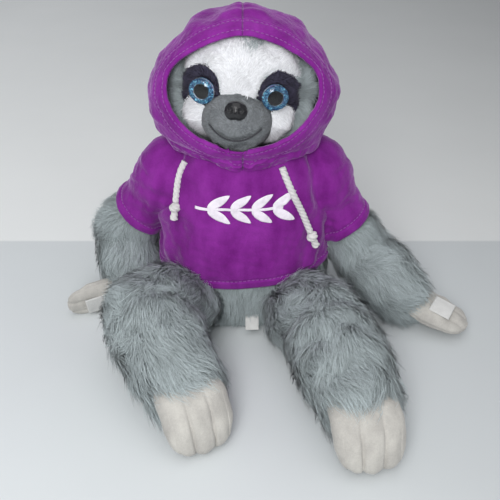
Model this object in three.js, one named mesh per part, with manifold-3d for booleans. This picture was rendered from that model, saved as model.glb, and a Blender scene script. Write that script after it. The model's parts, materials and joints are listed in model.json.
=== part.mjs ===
// A seated plush sloth in a hooded top, as separate sewn, stuffed and moulded pieces.
// Millimetres. +Z up, the toy faces -Y, its left side is +X, and the middle of its seat is at the origin.
import * as THREE from "three";
import { mergeVertices } from "three/addons/utils/BufferGeometryUtils.js";
import Module from "manifold-3d";

const wasm = await Module();
wasm.setup();

// Clearances and cloth
const SEAM_GAP = 0.35;
const SWING_GAP = 0.35;
const CLOTH = 3;
const OVERRUN = 2;
const FLAT_DEPTH = 0.6;
const SKIN_TOLERANCE = 0.08;

// Body and hooded top, as seen from outside the cloth
const BODY_HEIGHT = 184;
const BODY_HALF_WIDTH = 86;
const BODY_HALF_DEPTH = 67;
const BODY_CENTRE_Y = 1;
const BODY_SIDES = 24;
const BALL_SIDES = 14;
const WAIST_SIDES = 12;
const LIMB_SIDES = 12;
const BODY_RING_SHARES = [
  [0, 0.86, 0.8],
  [0.08, 0.94, 0.9],
  [0.25, 0.985, 0.98],
  [0.45, 1, 1],
  [0.62, 0.97, 0.97],
  [0.78, 0.89, 0.92],
  [0.9, 0.79, 0.87],
  [1, 0.64, 0.78],
];
const HEM_LOW_SIDE = 51;
const HEM_HIGH_SIDE = 61;
const FOLD_DEPTH = 1.6;
const FOLD_COUNT = 6;
const FOLD_TOP_SHARE = 0.65;
const NECK_RADIUS = 33;
const NECK_HEIGHT = 204;

// Arms, with angles in degrees: turned out from straight ahead, and raised from level
const SHOULDER_X = 64;
const SHOULDER_Y = 5;
const SHOULDER_Z = 146;
const SLEEVE_ROOT_RADIUS = 37;
const SLEEVE_HEM_RADIUS = 30;
const SLEEVE_LENGTH = 66;
const ARMHOLE_RADIUS = 24;
const UPPER_ARM_LENGTH = 104;
const SHOULDER_LIMIT = 60;
const STRAIGHT_MARGIN = 3;
const LIMB_BEND_LIMIT = 76;
const WRIST_LIMIT = 25;
const ARM_RADIUS = 32;
const UPPER_ARM_PROFILE_SHARES = [
  [0, 1.05],
  [0.3, 0.96],
  [0.6, 0.84],
  [0.72, 0.97],
  [0.86, 1],
  [1, 0.93],
];
const FOREARM_LENGTH = 61;
const FOREARM_PROFILE_SHARES = [
  [0.12, 0.985],
  [0.45, 1.03],
  [0.75, 0.97],
  [1, 0.84],
];
const HAND_LENGTH = 72;
const HAND_HALF_WIDTH = 21;
const HAND_HALF_THICKNESS = 10;
const HAND_PROFILE_SHARES = [
  [0.1, 0.78, 1],
  [0.4, 0.98, 1],
  [0.65, 0.95, 0.9],
  [0.76, 0.84, 0.76],
];
const VELCRO_SIDE = 21;
const VELCRO_THICKNESS = 1.2;
const VELCRO_PLACE_SHARE = 0.6;
const ARM_POSES = {
  left: {
    side: 1,
    upper: { out: 86.8, up: -58.6 },
    fore: { out: 45.4, up: -26 },
    hand: { out: 60, up: -13 },
    palmRoll: 8,
  },
  right: {
    side: -1,
    upper: { out: 110, up: -50.6 },
    fore: { out: -17.8, up: -45.7 },
    hand: { out: 70, up: -7 },
    palmRoll: 102,
  },
};

// Legs
const HIP_X = 44;
const HIP_Y = -36;
const HIP_Z = 28.5;
const HIP_RADIUS = 27;
const HIP_DOWN_LIMIT = 45;
const HIP_UP_LIMIT = 10;
const KNEE_LIMIT = 45;
const ANKLE_LIMIT = 20;
const THIGH_LENGTH = 84;
const LEG_HALF_WIDTH = 43;
const LEG_HALF_HEIGHT = 42;
const KNEE_RADIUS = 40;
const ANKLE_RADIUS = 35;
const THIGH_PROFILE_SHARES = [
  [0, HIP_RADIUS / LEG_HALF_WIDTH, HIP_RADIUS / LEG_HALF_HEIGHT],
  [0.3, 0.85, 0.78],
  [0.55, 0.98, 0.95],
  [0.8, 1, 1],
  [1, KNEE_RADIUS / LEG_HALF_WIDTH, KNEE_RADIUS / LEG_HALF_HEIGHT],
];
const SHIN_LENGTH = 70;
const SHIN_PROFILE_SHARES = [
  [0.14, 0.96, 1.02],
  [0.45, 1, 1],
  [0.75, 0.93, 0.94],
  [1, ANKLE_RADIUS / LEG_HALF_WIDTH, ANKLE_RADIUS / LEG_HALF_HEIGHT],
];
const LEG_POSES = {
  left: {
    side: 1,
    thigh: { out: 24, up: 10.5 },
    shin: { out: 14, up: -5.5 },
    foot: { out: 9, up: 0 },
  },
  right: {
    side: -1,
    thigh: { out: 33, up: 18 },
    shin: { out: -30, up: -16 },
    foot: { out: -24, up: 0 },
  },
};
const CLAW_SPACING = 18.8;
const CLAW_HALF_WIDTH = 11.2;
const CLAW_HALF_THICKNESS = 13.5;
const CLAW_REACH = 48;
const CLAW_DROP = 26;
const MIDDLE_CLAW_EXTRA = 3;
const CLAW_TIP_ANGLES = [35, 70];
const CLAW_SPINE_SHARES = [
  [0.4, 0.16],
  [0.62, 0.16],
  [0.86, -0.28],
  [0.97, -0.72],
  [1, -1],
];

// Head and face, around the middle of the head
const HEAD_X = 1;
const HEAD_Y = 4;
const HEAD_Z = 243.5;
const HEAD_HALF_WIDTH = 62;
const HEAD_HALF_DEPTH = 60;
const HEAD_HALF_HEIGHT = 53;
const HEAD_YAW = -5;
const HEAD_ROLL = 3.5;
const FACE_PILE = 2.8;
const FACE_HALF_WIDTH = 51;
const FACE_HALF_HEIGHT = 47;
const FACE_CENTRE_Z = 0.5;
const CHEEK_LINE_Z = -3.5;
const PATCH_OUTLINE_SHARES = [
  [-1.3, -1.2],
  [-1.22, 0.2],
  [-0.85, 1.3],
  [0.1, 1.85],
  [1.1, 1.3],
  [1.8, 0.75],
  [2.3, 0.4],
  [2.35, -0.5],
  [2.0, -1.35],
  [1.3, -0.8],
  [0.4, -1.1],
  [-0.5, -1.4],
];
const PATCH_STEPS = 26;
const MUZZLE_Y = -46;
const MUZZLE_Z = -21.5;
const MUZZLE_HALF_WIDTH = 30.5;
const MUZZLE_HALF_DEPTH = 31;
const MUZZLE_HALF_HEIGHT = 27.5;
const EYE_X = 29.7;
const EYE_Z = 3;
const EYE_RADIUS = 11;
const EYE_SINK = 1.2;
const EYE_TURN_OUT = 13;
const IRIS_THICKNESS = 1.2;
const PUPIL_RADIUS = 6;
const PUPIL_THICKNESS = 0.8;
const LENS_RIM = 1.1;
const LENS_HEIGHT = 5.6;
const LENS_DOME_ANGLES = [22, 45, 68];
const EYE_SIDES = 18;
const POST_SIDES = 12;
const WASHER_SIDES = 16;
const POST_RADIUS = 2.4;
const POST_LENGTH = 13;
const WASHER_RADIUS = 8.5;
const WASHER_THICKNESS = 2;
const WASHER_DEPTH = 8;
const NOSE_Z = -5;
const NOSE_HALF_WIDTH = 9.4;
const NOSE_HALF_HEIGHT = 8.4;
const NOSE_HALF_DEPTH = 6.5;
const NOSE_BACK = 1.5;
const NOSE_TILT_SHARE = 0.45;
const NOSTRIL_X = 3.8;
const NOSTRIL_RADIUS = 1.8;
const NOSTRIL_DEPTH = 1.2;
const NOSE_NOTCH_RADIUS = 2;
const MOUTH_HALF_WIDTH = 21;
const MOUTH_TOP_Z = -19.5;
const MOUTH_SAG = 8.5;
const MOUTH_HALF_STEPS = 5;
const THREAD_RADIUS = 0.9;

// Hood
const HOOD_BOTTOM = 185.6;
const HOOD_HEIGHT = 117.4;
const HOOD_HALF_WIDTH = 86;
const HOOD_HALF_DEPTH = 72;
const HOOD_Y = 5;
const HOOD_SIDES = 22;
const HOOD_RING_SHARES = [
  [0, 0.7, 0.68],
  [0.035, 0.82, 0.84],
  [0.13, 0.9, 0.96],
  [0.32, 0.975, 1],
  [0.455, 1, 1],
  [0.57, 0.88, 0.96],
  [0.69, 0.755, 0.86],
  [0.81, 0.62, 0.7],
  [0.9, 0.47, 0.52],
  [0.955, 0.3, 0.34],
];
const HOOD_FOLD_DEPTH = 1.5;
const HOOD_FOLDS = 3.5;
const CROWN_ANGLES = [30, 60, 80];
const OPENING_HALF_WIDTH = 64;
const OPENING_TOP = 290;
const OPENING_BOTTOM = 203.5;
const OPENING_WIDEST_Z = 252;
const OPENING_INSET_SHARE = 0.62;
const OPENING_LOW_BEND_SHARE = 0.62;
const OPENING_HIGH_BEND_SHARE = 0.55;
const OPENING_CHIN_RISE_SHARE = 0.07;
const NECK_HOLE_HALF_WIDTH = 50;
const NECK_HOLE_HALF_DEPTH = 46;
const RIM_BAND_WIDTH = 18;
const RIM_BAND_THICKNESS = 1.6;
const NECK_TURN_LIMIT = 25;

// Print, drawstrings and label
const PRINT_GAP = 0.3;
const PRINT_THICKNESS = 0.7;
const PRINT_X = -3;
const PRINT_Z = 142;
const PRINT_HALF_WIDTH = 38;
const STEM_HALF_WIDTH = 1.3;
const LEAF_LENGTH = 13;
const LEAF_HALF_WIDTH = 4;
const LEAF_PAIRS = 4;
const LEAF_PLACE_SHARE = 0.8;
const LEAF_TURN = 35;
const STRING_RADIUS = 2.9;
const KNOT_RADIUS = 5;
const KNOT_TAIL_LENGTH = 9;
const KNOT_TAIL_RADIUS = 3.7;
const LABEL_WIDTH = 13;
const LABEL_LENGTH = 16;
const LABEL_THICKNESS = 0.8;
const LABEL_X = 8;
const LABEL_Z = 20;
const LABEL_TILT = 35;

// The drawstrings' routes, from the neck seam to the knot
const STRING_ROUTES = {
  left: [
    [34, -46.7, 178],
    [38, -49.2, 168],
    [45, -51.4, 152],
    [53, -49.4, 134],
    [61.8, -49.4, 112],
  ],
  right: [
    [-52, -32.2, 176],
    [-56, -34.5, 168],
    [-59, -37, 158],
    [-61.7, -42.3, 140],
  ],
};

const FINISHES = {
  greyFur: { color: 0x8a9498, roughness: 0.95, metalness: 0 },
  purpleVelour: { color: 0x7a2289, roughness: 0.8, metalness: 0 },
  creamVelboa: { color: 0xc9c2ba, roughness: 0.85, metalness: 0 },
  whitePlush: { color: 0xe9ebef, roughness: 0.9, metalness: 0 },
  darkPlush: { color: 0x3d3a48, roughness: 0.9, metalness: 0 },
  muzzlePlush: { color: 0x7f8489, roughness: 0.85, metalness: 0 },
  whiteCotton: { color: 0xe8e2e0, roughness: 0.85, metalness: 0 },
  whitePrint: { color: 0xf3edf5, roughness: 0.6, metalness: 0 },
  whiteNylon: { color: 0xf0efec, roughness: 0.6, metalness: 0 },
  blackPlastic: { color: 0x0d0d10, roughness: 0.2, metalness: 0 },
  blueGlitter: { color: 0x2b6fb8, roughness: 0.35, metalness: 0.4 },
  clearPlastic: { color: 0xeaf4ff, roughness: 0.05, metalness: 0 },
  whitePlastic: { color: 0xdcdcd8, roughness: 0.45, metalness: 0 },
};

const UP = new THREE.Vector3(0, 0, 1);
const radians = THREE.MathUtils.degToRad;
const point = (x, y, z) => new THREE.Vector3(x, y, z);

// A closed three.js geometry as a solid.
function solidFrom(geometry) {
  const bare = geometry.index ? geometry.toNonIndexed() : geometry.clone();
  bare.deleteAttribute("normal");
  bare.deleteAttribute("uv");
  const merged = mergeVertices(bare, SEAM_GAP / 1e4);
  return new wasm.Manifold(
    new wasm.Mesh({
      numProp: 3,
      vertProperties: merged.attributes.position.array,
      triVerts: new Uint32Array(merged.index.array),
    }),
  );
}

function union(solids) {
  return solids.reduce((whole, next) => whole.add(next));
}

function without(solid, ...cutters) {
  return cutters.reduce((rest, cutter) => rest.subtract(cutter), solid);
}

function transformed(solid, matrix) {
  return solid.transform(matrix.elements);
}

// The turn about an axis through a pivot.
function turnAbout(pivot, axis, degrees) {
  return new THREE.Matrix4()
    .makeTranslation(pivot.x, pivot.y, pivot.z)
    .multiply(new THREE.Matrix4().makeRotationAxis(axis, radians(degrees)))
    .multiply(new THREE.Matrix4().makeTranslation(-pivot.x, -pivot.y, -pivot.z));
}

// What a fixed solid covers at rest and at both limits, as seen by the piece that turns on it.
function placesOf(solid, { pivot, axis, low, high }) {
  const angles = [0, low, high].filter((angle, i) => i === 0 || angle !== 0);
  return union(angles.map((angle) => transformed(solid, turnAbout(pivot, axis, -angle))));
}

// The radius of a faceted round whose flats lie at a given radius.
function aroundFacets(radius, sides) {
  return radius / Math.cos(Math.PI / sides);
}

// The radius of a faceted ball whose flats lie at a given radius.
function aroundBall(radius) {
  return aroundFacets(aroundFacets(radius, BALL_SIDES), BALL_SIDES);
}

// The cup that a limb's round end turns in: its ball, and the limb behind it at each limit.
function jointCup(turn, limbAim, endRadius, limbRadius) {
  const reach = limbRadius + SWING_GAP;
  const stemSides = LIMB_SIDES;
  const behind = new THREE.Quaternion().setFromUnitVectors(UP, limbAim.clone().negate());
  const stem = cylinder(aroundFacets(reach, stemSides), 0, reach * 2, stemSides);
  const placed = transformed(stem, new THREE.Matrix4().compose(turn.pivot, behind, point(1, 1, 1)));
  return ball(turn.pivot, aroundBall(endRadius + SWING_GAP)).add(placesOf(placed, turn));
}

// A closed skin over rings of points that run counterclockwise as seen from the last ring.
function loft(rings) {
  const corners = [];
  const put = (...places) => places.forEach((p) => corners.push(p.x, p.y, p.z));
  for (let i = 0; i + 1 < rings.length; i++) {
    const count = rings[i].length;
    for (let k = 0; k < count; k++) {
      const next = (k + 1) % count;
      put(rings[i][k], rings[i][next], rings[i + 1][next]);
      put(rings[i][k], rings[i + 1][next], rings[i + 1][k]);
    }
  }
  const middleOf = (ring) =>
    ring.reduce((sum, p) => sum.add(p), new THREE.Vector3()).divideScalar(ring.length);
  const first = rings[0];
  const last = rings[rings.length - 1];
  first.forEach((p, k) => put(middleOf(first), first[(k + 1) % first.length], p));
  last.forEach((p, k) => put(middleOf(last), p, last[(k + 1) % last.length]));
  const geometry = new THREE.BufferGeometry();
  geometry.setAttribute("position", new THREE.Float32BufferAttribute(corners, 3));
  return solidFrom(geometry);
}

// A ring of points round a centre, from two half axes.
function ellipseRing(centre, across, upward, halfWidth, halfHeight, sides) {
  const ring = [];
  for (let k = 0; k < sides; k++) {
    const angle = (2 * Math.PI * k) / sides;
    ring.push(
      centre
        .clone()
        .addScaledVector(across, halfWidth * Math.cos(angle))
        .addScaledVector(upward, halfHeight * Math.sin(angle)),
    );
  }
  return ring;
}

// A smooth value between the rows of a table that starts each row with its place.
function along(table, share, column) {
  const last = table.length - 1;
  const at = Math.min(Math.max(share, table[0][0]), table[last][0]);
  let i = 0;
  while (i < last - 1 && table[i + 1][0] < at) i++;
  const from = table[i];
  const to = table[i + 1];
  const t = (at - from[0]) / (to[0] - from[0]);
  const slope = (a, b) => (table[b][column] - table[a][column]) / (table[b][0] - table[a][0]);
  const span = to[0] - from[0];
  const startSlope = slope(Math.max(i - 1, 0), i + 1) * span;
  const endSlope = slope(i, Math.min(i + 2, last)) * span;
  return (
    from[column] * (2 * t ** 3 - 3 * t ** 2 + 1) +
    startSlope * (t ** 3 - 2 * t ** 2 + t) +
    to[column] * (3 * t ** 2 - 2 * t ** 3) +
    endSlope * (t ** 3 - t ** 2)
  );
}

// The unit direction of a limb: turned out from straight ahead on its own side, and raised from level.
function aim(side, { out, up }) {
  return point(
    side * Math.sin(radians(out)) * Math.cos(radians(up)),
    -Math.cos(radians(out)) * Math.cos(radians(up)),
    Math.sin(radians(up)),
  );
}

// A stuffed limb that swells and tapers along a straight line, with round ends where asked.
function stuffedLimb(form) {
  const { from, to, width, height, profile, upward, roundRoot, roundTip } = form;
  const { grow = 0, sides = LIMB_SIDES, bodySteps = 5 } = form;
  const direction = to.clone().sub(from);
  const length = direction.length();
  direction.normalize();
  const across = new THREE.Vector3().crossVectors(upward, direction).normalize();
  const lift = new THREE.Vector3().crossVectors(direction, across).normalize();
  const capSteps = 3;
  const rings = [];
  const first = profile[0][0];
  const last = profile[profile.length - 1][0];
  const ringAt = (share, shift, shrink) => {
    const row = (column) => along(profile, share, Math.min(column, profile[0].length - 1));
    const centre = from.clone().addScaledVector(direction, share * length + shift);
    rings.push(
      ellipseRing(
        centre,
        across,
        lift,
        (row(1) * width + grow) * shrink,
        (row(2) * height + grow) * shrink,
        sides,
      ),
    );
  };
  const rootReach = along(profile, first, 1) * width + grow;
  const tipReach = along(profile, last, 1) * width + grow;
  if (roundRoot) {
    for (let i = 1; i <= capSteps; i++) {
      const angle = (Math.PI / 2) * (i / (capSteps + 1));
      ringAt(first, -rootReach * Math.cos(angle), Math.sin(angle));
    }
  }
  for (let i = 0; i <= bodySteps; i++) ringAt(first + ((last - first) * i) / bodySteps, 0, 1);
  if (roundTip) {
    for (let i = capSteps; i >= 1; i--) {
      const angle = (Math.PI / 2) * (i / (capSteps + 1));
      ringAt(last, tipReach * Math.cos(angle), Math.sin(angle));
    }
  }
  return loft(rings);
}

// A stuffed roll along a bent spine, round at its tip.
function bentRoll(spine, across, halfWidth, halfThickness, grow = 0) {
  const curve = new THREE.CatmullRomCurve3(spine);
  const rings = [];
  const steps = 5;
  const sides = 8;
  const ringAt = (share, shift, shrink) => {
    const direction = curve.getTangentAt(share);
    const lift = new THREE.Vector3().crossVectors(direction, across).normalize();
    const centre = curve.getPointAt(share).addScaledVector(direction, shift);
    rings.push(
      ellipseRing(centre, across, lift, (halfWidth + grow) * shrink, (halfThickness + grow) * shrink, sides),
    );
  };
  for (let i = 0; i <= steps; i++) ringAt(i / steps, 0, 1);
  for (const angle of CLAW_TIP_ANGLES) {
    ringAt(1, (halfWidth + grow) * Math.sin(radians(angle)), Math.cos(radians(angle)));
  }
  return loft(rings);
}

function ball(centre, radius) {
  const sphere = new THREE.SphereGeometry(radius, BALL_SIDES, BALL_SIDES / 2);
  return solidFrom(sphere.translate(centre.x, centre.y, centre.z));
}

// A ball whose poles lie across those of its socket, so that its corners come near the socket's flats.
function crossBall(centre, radius) {
  const sphere = new THREE.SphereGeometry(radius, BALL_SIDES, BALL_SIDES / 2).rotateZ(Math.PI / 2);
  return solidFrom(sphere.translate(centre.x, centre.y, centre.z));
}

// An egg about a centre, in the head's own frame, with its poles front and back.
function egg(centre, halfWidth, halfDepth, halfHeight, sides) {
  const sphere = new THREE.SphereGeometry(1, sides, Math.round(sides * 0.6));
  sphere.scale(halfWidth, halfDepth, halfHeight);
  return solidFrom(sphere.translate(centre.x, centre.y, centre.z));
}

function cylinder(radius, bottom, top, sides = 20) {
  const tube = new THREE.CylinderGeometry(radius, radius, top - bottom, sides);
  return solidFrom(tube.rotateX(Math.PI / 2).translate(0, 0, (bottom + top) / 2));
}

// A slab with an outline in X and Z, from one Y to another.
function slabAlongY(shape, nearY, farY, curveSegments = 10) {
  const depth = farY - nearY;
  const slab = new THREE.ExtrudeGeometry(shape, { depth, bevelEnabled: false, curveSegments });
  return solidFrom(slab.rotateX(Math.PI / 2).translate(0, farY, 0));
}

function ellipseShape(x, z, halfWidth, halfHeight, tilt = 0) {
  const shape = new THREE.Shape();
  shape.absellipse(x, z, halfWidth, halfHeight, 0, 2 * Math.PI, false, radians(tilt));
  return shape;
}

function box(low, high) {
  const size = high.clone().sub(low);
  const middle = high.clone().add(low).multiplyScalar(0.5);
  return solidFrom(new THREE.BoxGeometry(size.x, size.y, size.z).translate(middle.x, middle.y, middle.z));
}

// What lies above the table, once a resting form is cut flat.
function restedOnTable(solid) {
  return solid.trimByPlane([0, 0, 1], 0);
}

// A round tube along a route.
function tube(route, radius, sides, steps) {
  const section = new THREE.Shape();
  for (let i = 0; i < sides; i++) {
    const angle = (2 * Math.PI * i) / sides;
    const [x, y] = [radius * Math.cos(angle), radius * Math.sin(angle)];
    if (i === 0) section.moveTo(x, y);
    else section.lineTo(x, y);
  }
  section.closePath();
  const path = new THREE.CatmullRomCurve3(route);
  return solidFrom(new THREE.ExtrudeGeometry(section, { steps, extrudePath: path, bevelEnabled: false }));
}

// The body's rings, with folds only where they are asked for.
function bodyForm({ grow, folds, sides = BODY_SIDES, ringCount = 9 }) {
  const rings = [];
  const addRing = (share, z) => {
    const halfWidth = along(BODY_RING_SHARES, share, 1) * BODY_HALF_WIDTH + grow;
    const halfDepth = along(BODY_RING_SHARES, share, 2) * BODY_HALF_DEPTH + grow;
    const centre = point(0, BODY_CENTRE_Y, z);
    const ring = ellipseRing(centre, point(1, 0, 0), point(0, 1, 0), halfWidth, halfDepth, sides);
    const fade = folds ? Math.max(0, 1 - share / FOLD_TOP_SHARE) : 0;
    ring.forEach((p, k) => {
      const wave = 0.5 + 0.5 * Math.sin((2 * Math.PI * k * FOLD_COUNT) / sides + 4 * share);
      const outward = p.clone().sub(centre).normalize();
      p.addScaledVector(outward, FOLD_DEPTH * fade * wave);
    });
    rings.push(ring);
  };
  addRing(0, -FLAT_DEPTH);
  for (let i = 1; i <= ringCount; i++) addRing(i / ringCount, (i / ringCount) * BODY_HEIGHT);
  addRing(1, BODY_HEIGHT + OVERRUN);
  return loft(rings);
}

// The hood's rings, with soft level folds near the crown.
function hoodForm(grow) {
  const rings = [];
  const ringCount = 9;
  const last = HOOD_RING_SHARES[HOOD_RING_SHARES.length - 1][0];
  const top = last * HOOD_HEIGHT;
  for (let i = 0; i <= ringCount; i++) {
    const share = (last * i) / ringCount;
    const fold = Math.sin(2 * Math.PI * HOOD_FOLDS * share) * HOOD_FOLD_DEPTH * share;
    const halfWidth = along(HOOD_RING_SHARES, share, 1) * HOOD_HALF_WIDTH + grow + fold;
    const halfDepth = along(HOOD_RING_SHARES, share, 2) * HOOD_HALF_DEPTH + grow + fold;
    const z = HOOD_BOTTOM + share * HOOD_HEIGHT;
    rings.push(
      ellipseRing(point(0, HOOD_Y, z), point(1, 0, 0), point(0, 1, 0), halfWidth, halfDepth, HOOD_SIDES),
    );
  }
  const crown = HOOD_HEIGHT - top + grow;
  const base = rings[rings.length - 1];
  const middle = point(0, HOOD_Y, HOOD_BOTTOM + top);
  for (const angle of CROWN_ANGLES) {
    rings.push(
      base.map((p) =>
        p
          .clone()
          .sub(middle)
          .multiplyScalar(Math.cos(radians(angle)))
          .add(middle)
          .add(point(0, 0, crown * Math.sin(radians(angle)))),
      ),
    );
  }
  return loft(rings);
}

// The face opening of the hood, grown for its band.
function openingShape(grow) {
  const shape = new THREE.Shape();
  const halfWidth = OPENING_HALF_WIDTH + grow;
  const top = OPENING_TOP + grow;
  const bottom = OPENING_BOTTOM - grow;
  const widest = OPENING_WIDEST_Z;
  const lowBend = widest - (widest - bottom) * OPENING_LOW_BEND_SHARE;
  const chinRise = bottom + (widest - bottom) * OPENING_CHIN_RISE_SHARE;
  const highBend = widest + (top - widest) * OPENING_HIGH_BEND_SHARE;
  const inset = halfWidth * OPENING_INSET_SHARE;
  shape.moveTo(0, bottom);
  shape.bezierCurveTo(inset, chinRise, halfWidth, lowBend, halfWidth, widest);
  shape.bezierCurveTo(halfWidth, highBend, inset, top, 0, top);
  shape.bezierCurveTo(-inset, top, -halfWidth, highBend, -halfWidth, widest);
  shape.bezierCurveTo(-halfWidth, lowBend, -inset, chinRise, 0, bottom);
  return shape;
}

const joints = [];
const root = new THREE.Group();
root.name = "plush_sloth";

// A group that holds the pieces of one moving body, with its origin on the body's pivot.
function bodyGroup(name, pivot, parent = root) {
  const group = new THREE.Group();
  group.name = name;
  const parentPivot = parent.userData.pivot ?? new THREE.Vector3();
  group.position.copy(pivot).sub(parentPivot);
  group.userData.pivot = pivot.clone();
  parent.add(group);
  return group;
}

// Adds a solid, given in the part's own frame, as one named piece of a body.
function addPiece(group, name, solid, finish) {
  const mesh = solid.simplify(SKIN_TOLERANCE).getMesh();
  const geometry = new THREE.BufferGeometry();
  const places = new Float32Array(mesh.vertProperties);
  geometry.setAttribute("position", new THREE.BufferAttribute(places, 3));
  geometry.setIndex(new THREE.BufferAttribute(new Uint32Array(mesh.triVerts), 1));
  const pivot = group.userData.pivot;
  geometry.translate(-pivot.x, -pivot.y, -pivot.z);
  geometry.computeVertexNormals();
  const material = new THREE.MeshStandardMaterial(FINISHES[finish]);
  const piece = new THREE.Mesh(geometry, material);
  piece.name = name;
  group.add(piece);
}

// Shoulder and hip sockets
const sideNames = ["left", "right"];
const sideSign = { left: 1, right: -1 };
const shoulders = {};
const hips = {};
for (const name of sideNames) {
  shoulders[name] = point(sideSign[name] * SHOULDER_X, SHOULDER_Y, SHOULDER_Z);
  hips[name] = point(sideSign[name] * HIP_X, HIP_Y, HIP_Z);
}
const socketFor = (centre, radius) => ball(centre, aroundBall(radius + SWING_GAP));
const shoulderSockets = sideNames.map((name) => socketFor(shoulders[name], SLEEVE_ROOT_RADIUS));
const hipSockets = sideNames.map((name) => socketFor(hips[name], HIP_RADIUS));

// Body and hooded top
function makeTorso() {
  const form = bodyForm({ grow: -CLOTH - SEAM_GAP, folds: false }).trimByPlane([0, 0, -1], -BODY_HEIGHT);
  const neck = cylinder(NECK_RADIUS, BODY_HEIGHT - CLOTH, NECK_HEIGHT, BODY_SIDES).translate([0, HEAD_Y, 0]);
  return restedOnTable(without(form.add(neck), ...shoulderSockets, ...hipSockets));
}

function makeHoodieBody() {
  const outer = bodyForm({ grow: 0, folds: true }).trimByPlane([0, 0, -1], -BODY_HEIGHT);
  const inner = bodyForm({ grow: -CLOTH, folds: false });
  const rise = (HEM_HIGH_SIDE - HEM_LOW_SIDE) / (2 * BODY_HALF_WIDTH);
  const hemNormal = point(-rise, 0, 1).normalize();
  const hemMiddle = (HEM_HIGH_SIDE + HEM_LOW_SIDE) / 2;
  return without(outer, inner, ...shoulderSockets).trimByPlane(hemNormal.toArray(), hemMiddle * hemNormal.z);
}

const torsoGroup = bodyGroup("body", point(0, 0, 0));
const hoodieBody = makeHoodieBody();
const halfSeam = SEAM_GAP / 2;
const hoodieFront = hoodieBody.trimByPlane([0, -1, 0], halfSeam - BODY_CENTRE_Y);
const hoodieBack = hoodieBody.trimByPlane([0, 1, 0], halfSeam + BODY_CENTRE_Y);
addPiece(torsoGroup, "torso", makeTorso(), "greyFur");
addPiece(torsoGroup, "hoodie_front", hoodieFront, "purpleVelour");
addPiece(torsoGroup, "hoodie_back", hoodieBack, "purpleVelour");

// What the limbs are cut by: the body with its folds, a running gap larger.
const bodyReach = bodyForm({ grow: FOLD_DEPTH + SWING_GAP * 6, folds: false, sides: 18, ringCount: 5 });
const waistReach = cylinder(aroundFacets(1, WAIST_SIDES), -BODY_HEIGHT, BODY_HEIGHT, WAIST_SIDES)
  .scale([BODY_HALF_WIDTH + FOLD_DEPTH + SWING_GAP, BODY_HALF_DEPTH + FOLD_DEPTH + SWING_GAP, 1])
  .translate([0, BODY_CENTRE_Y, 0]);
const shoulderBalls = sideNames.map((name) => crossBall(shoulders[name], SLEEVE_ROOT_RADIUS + SWING_GAP / 2));
const bodyKeepOut = without(bodyReach, ...shoulderBalls);

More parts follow.
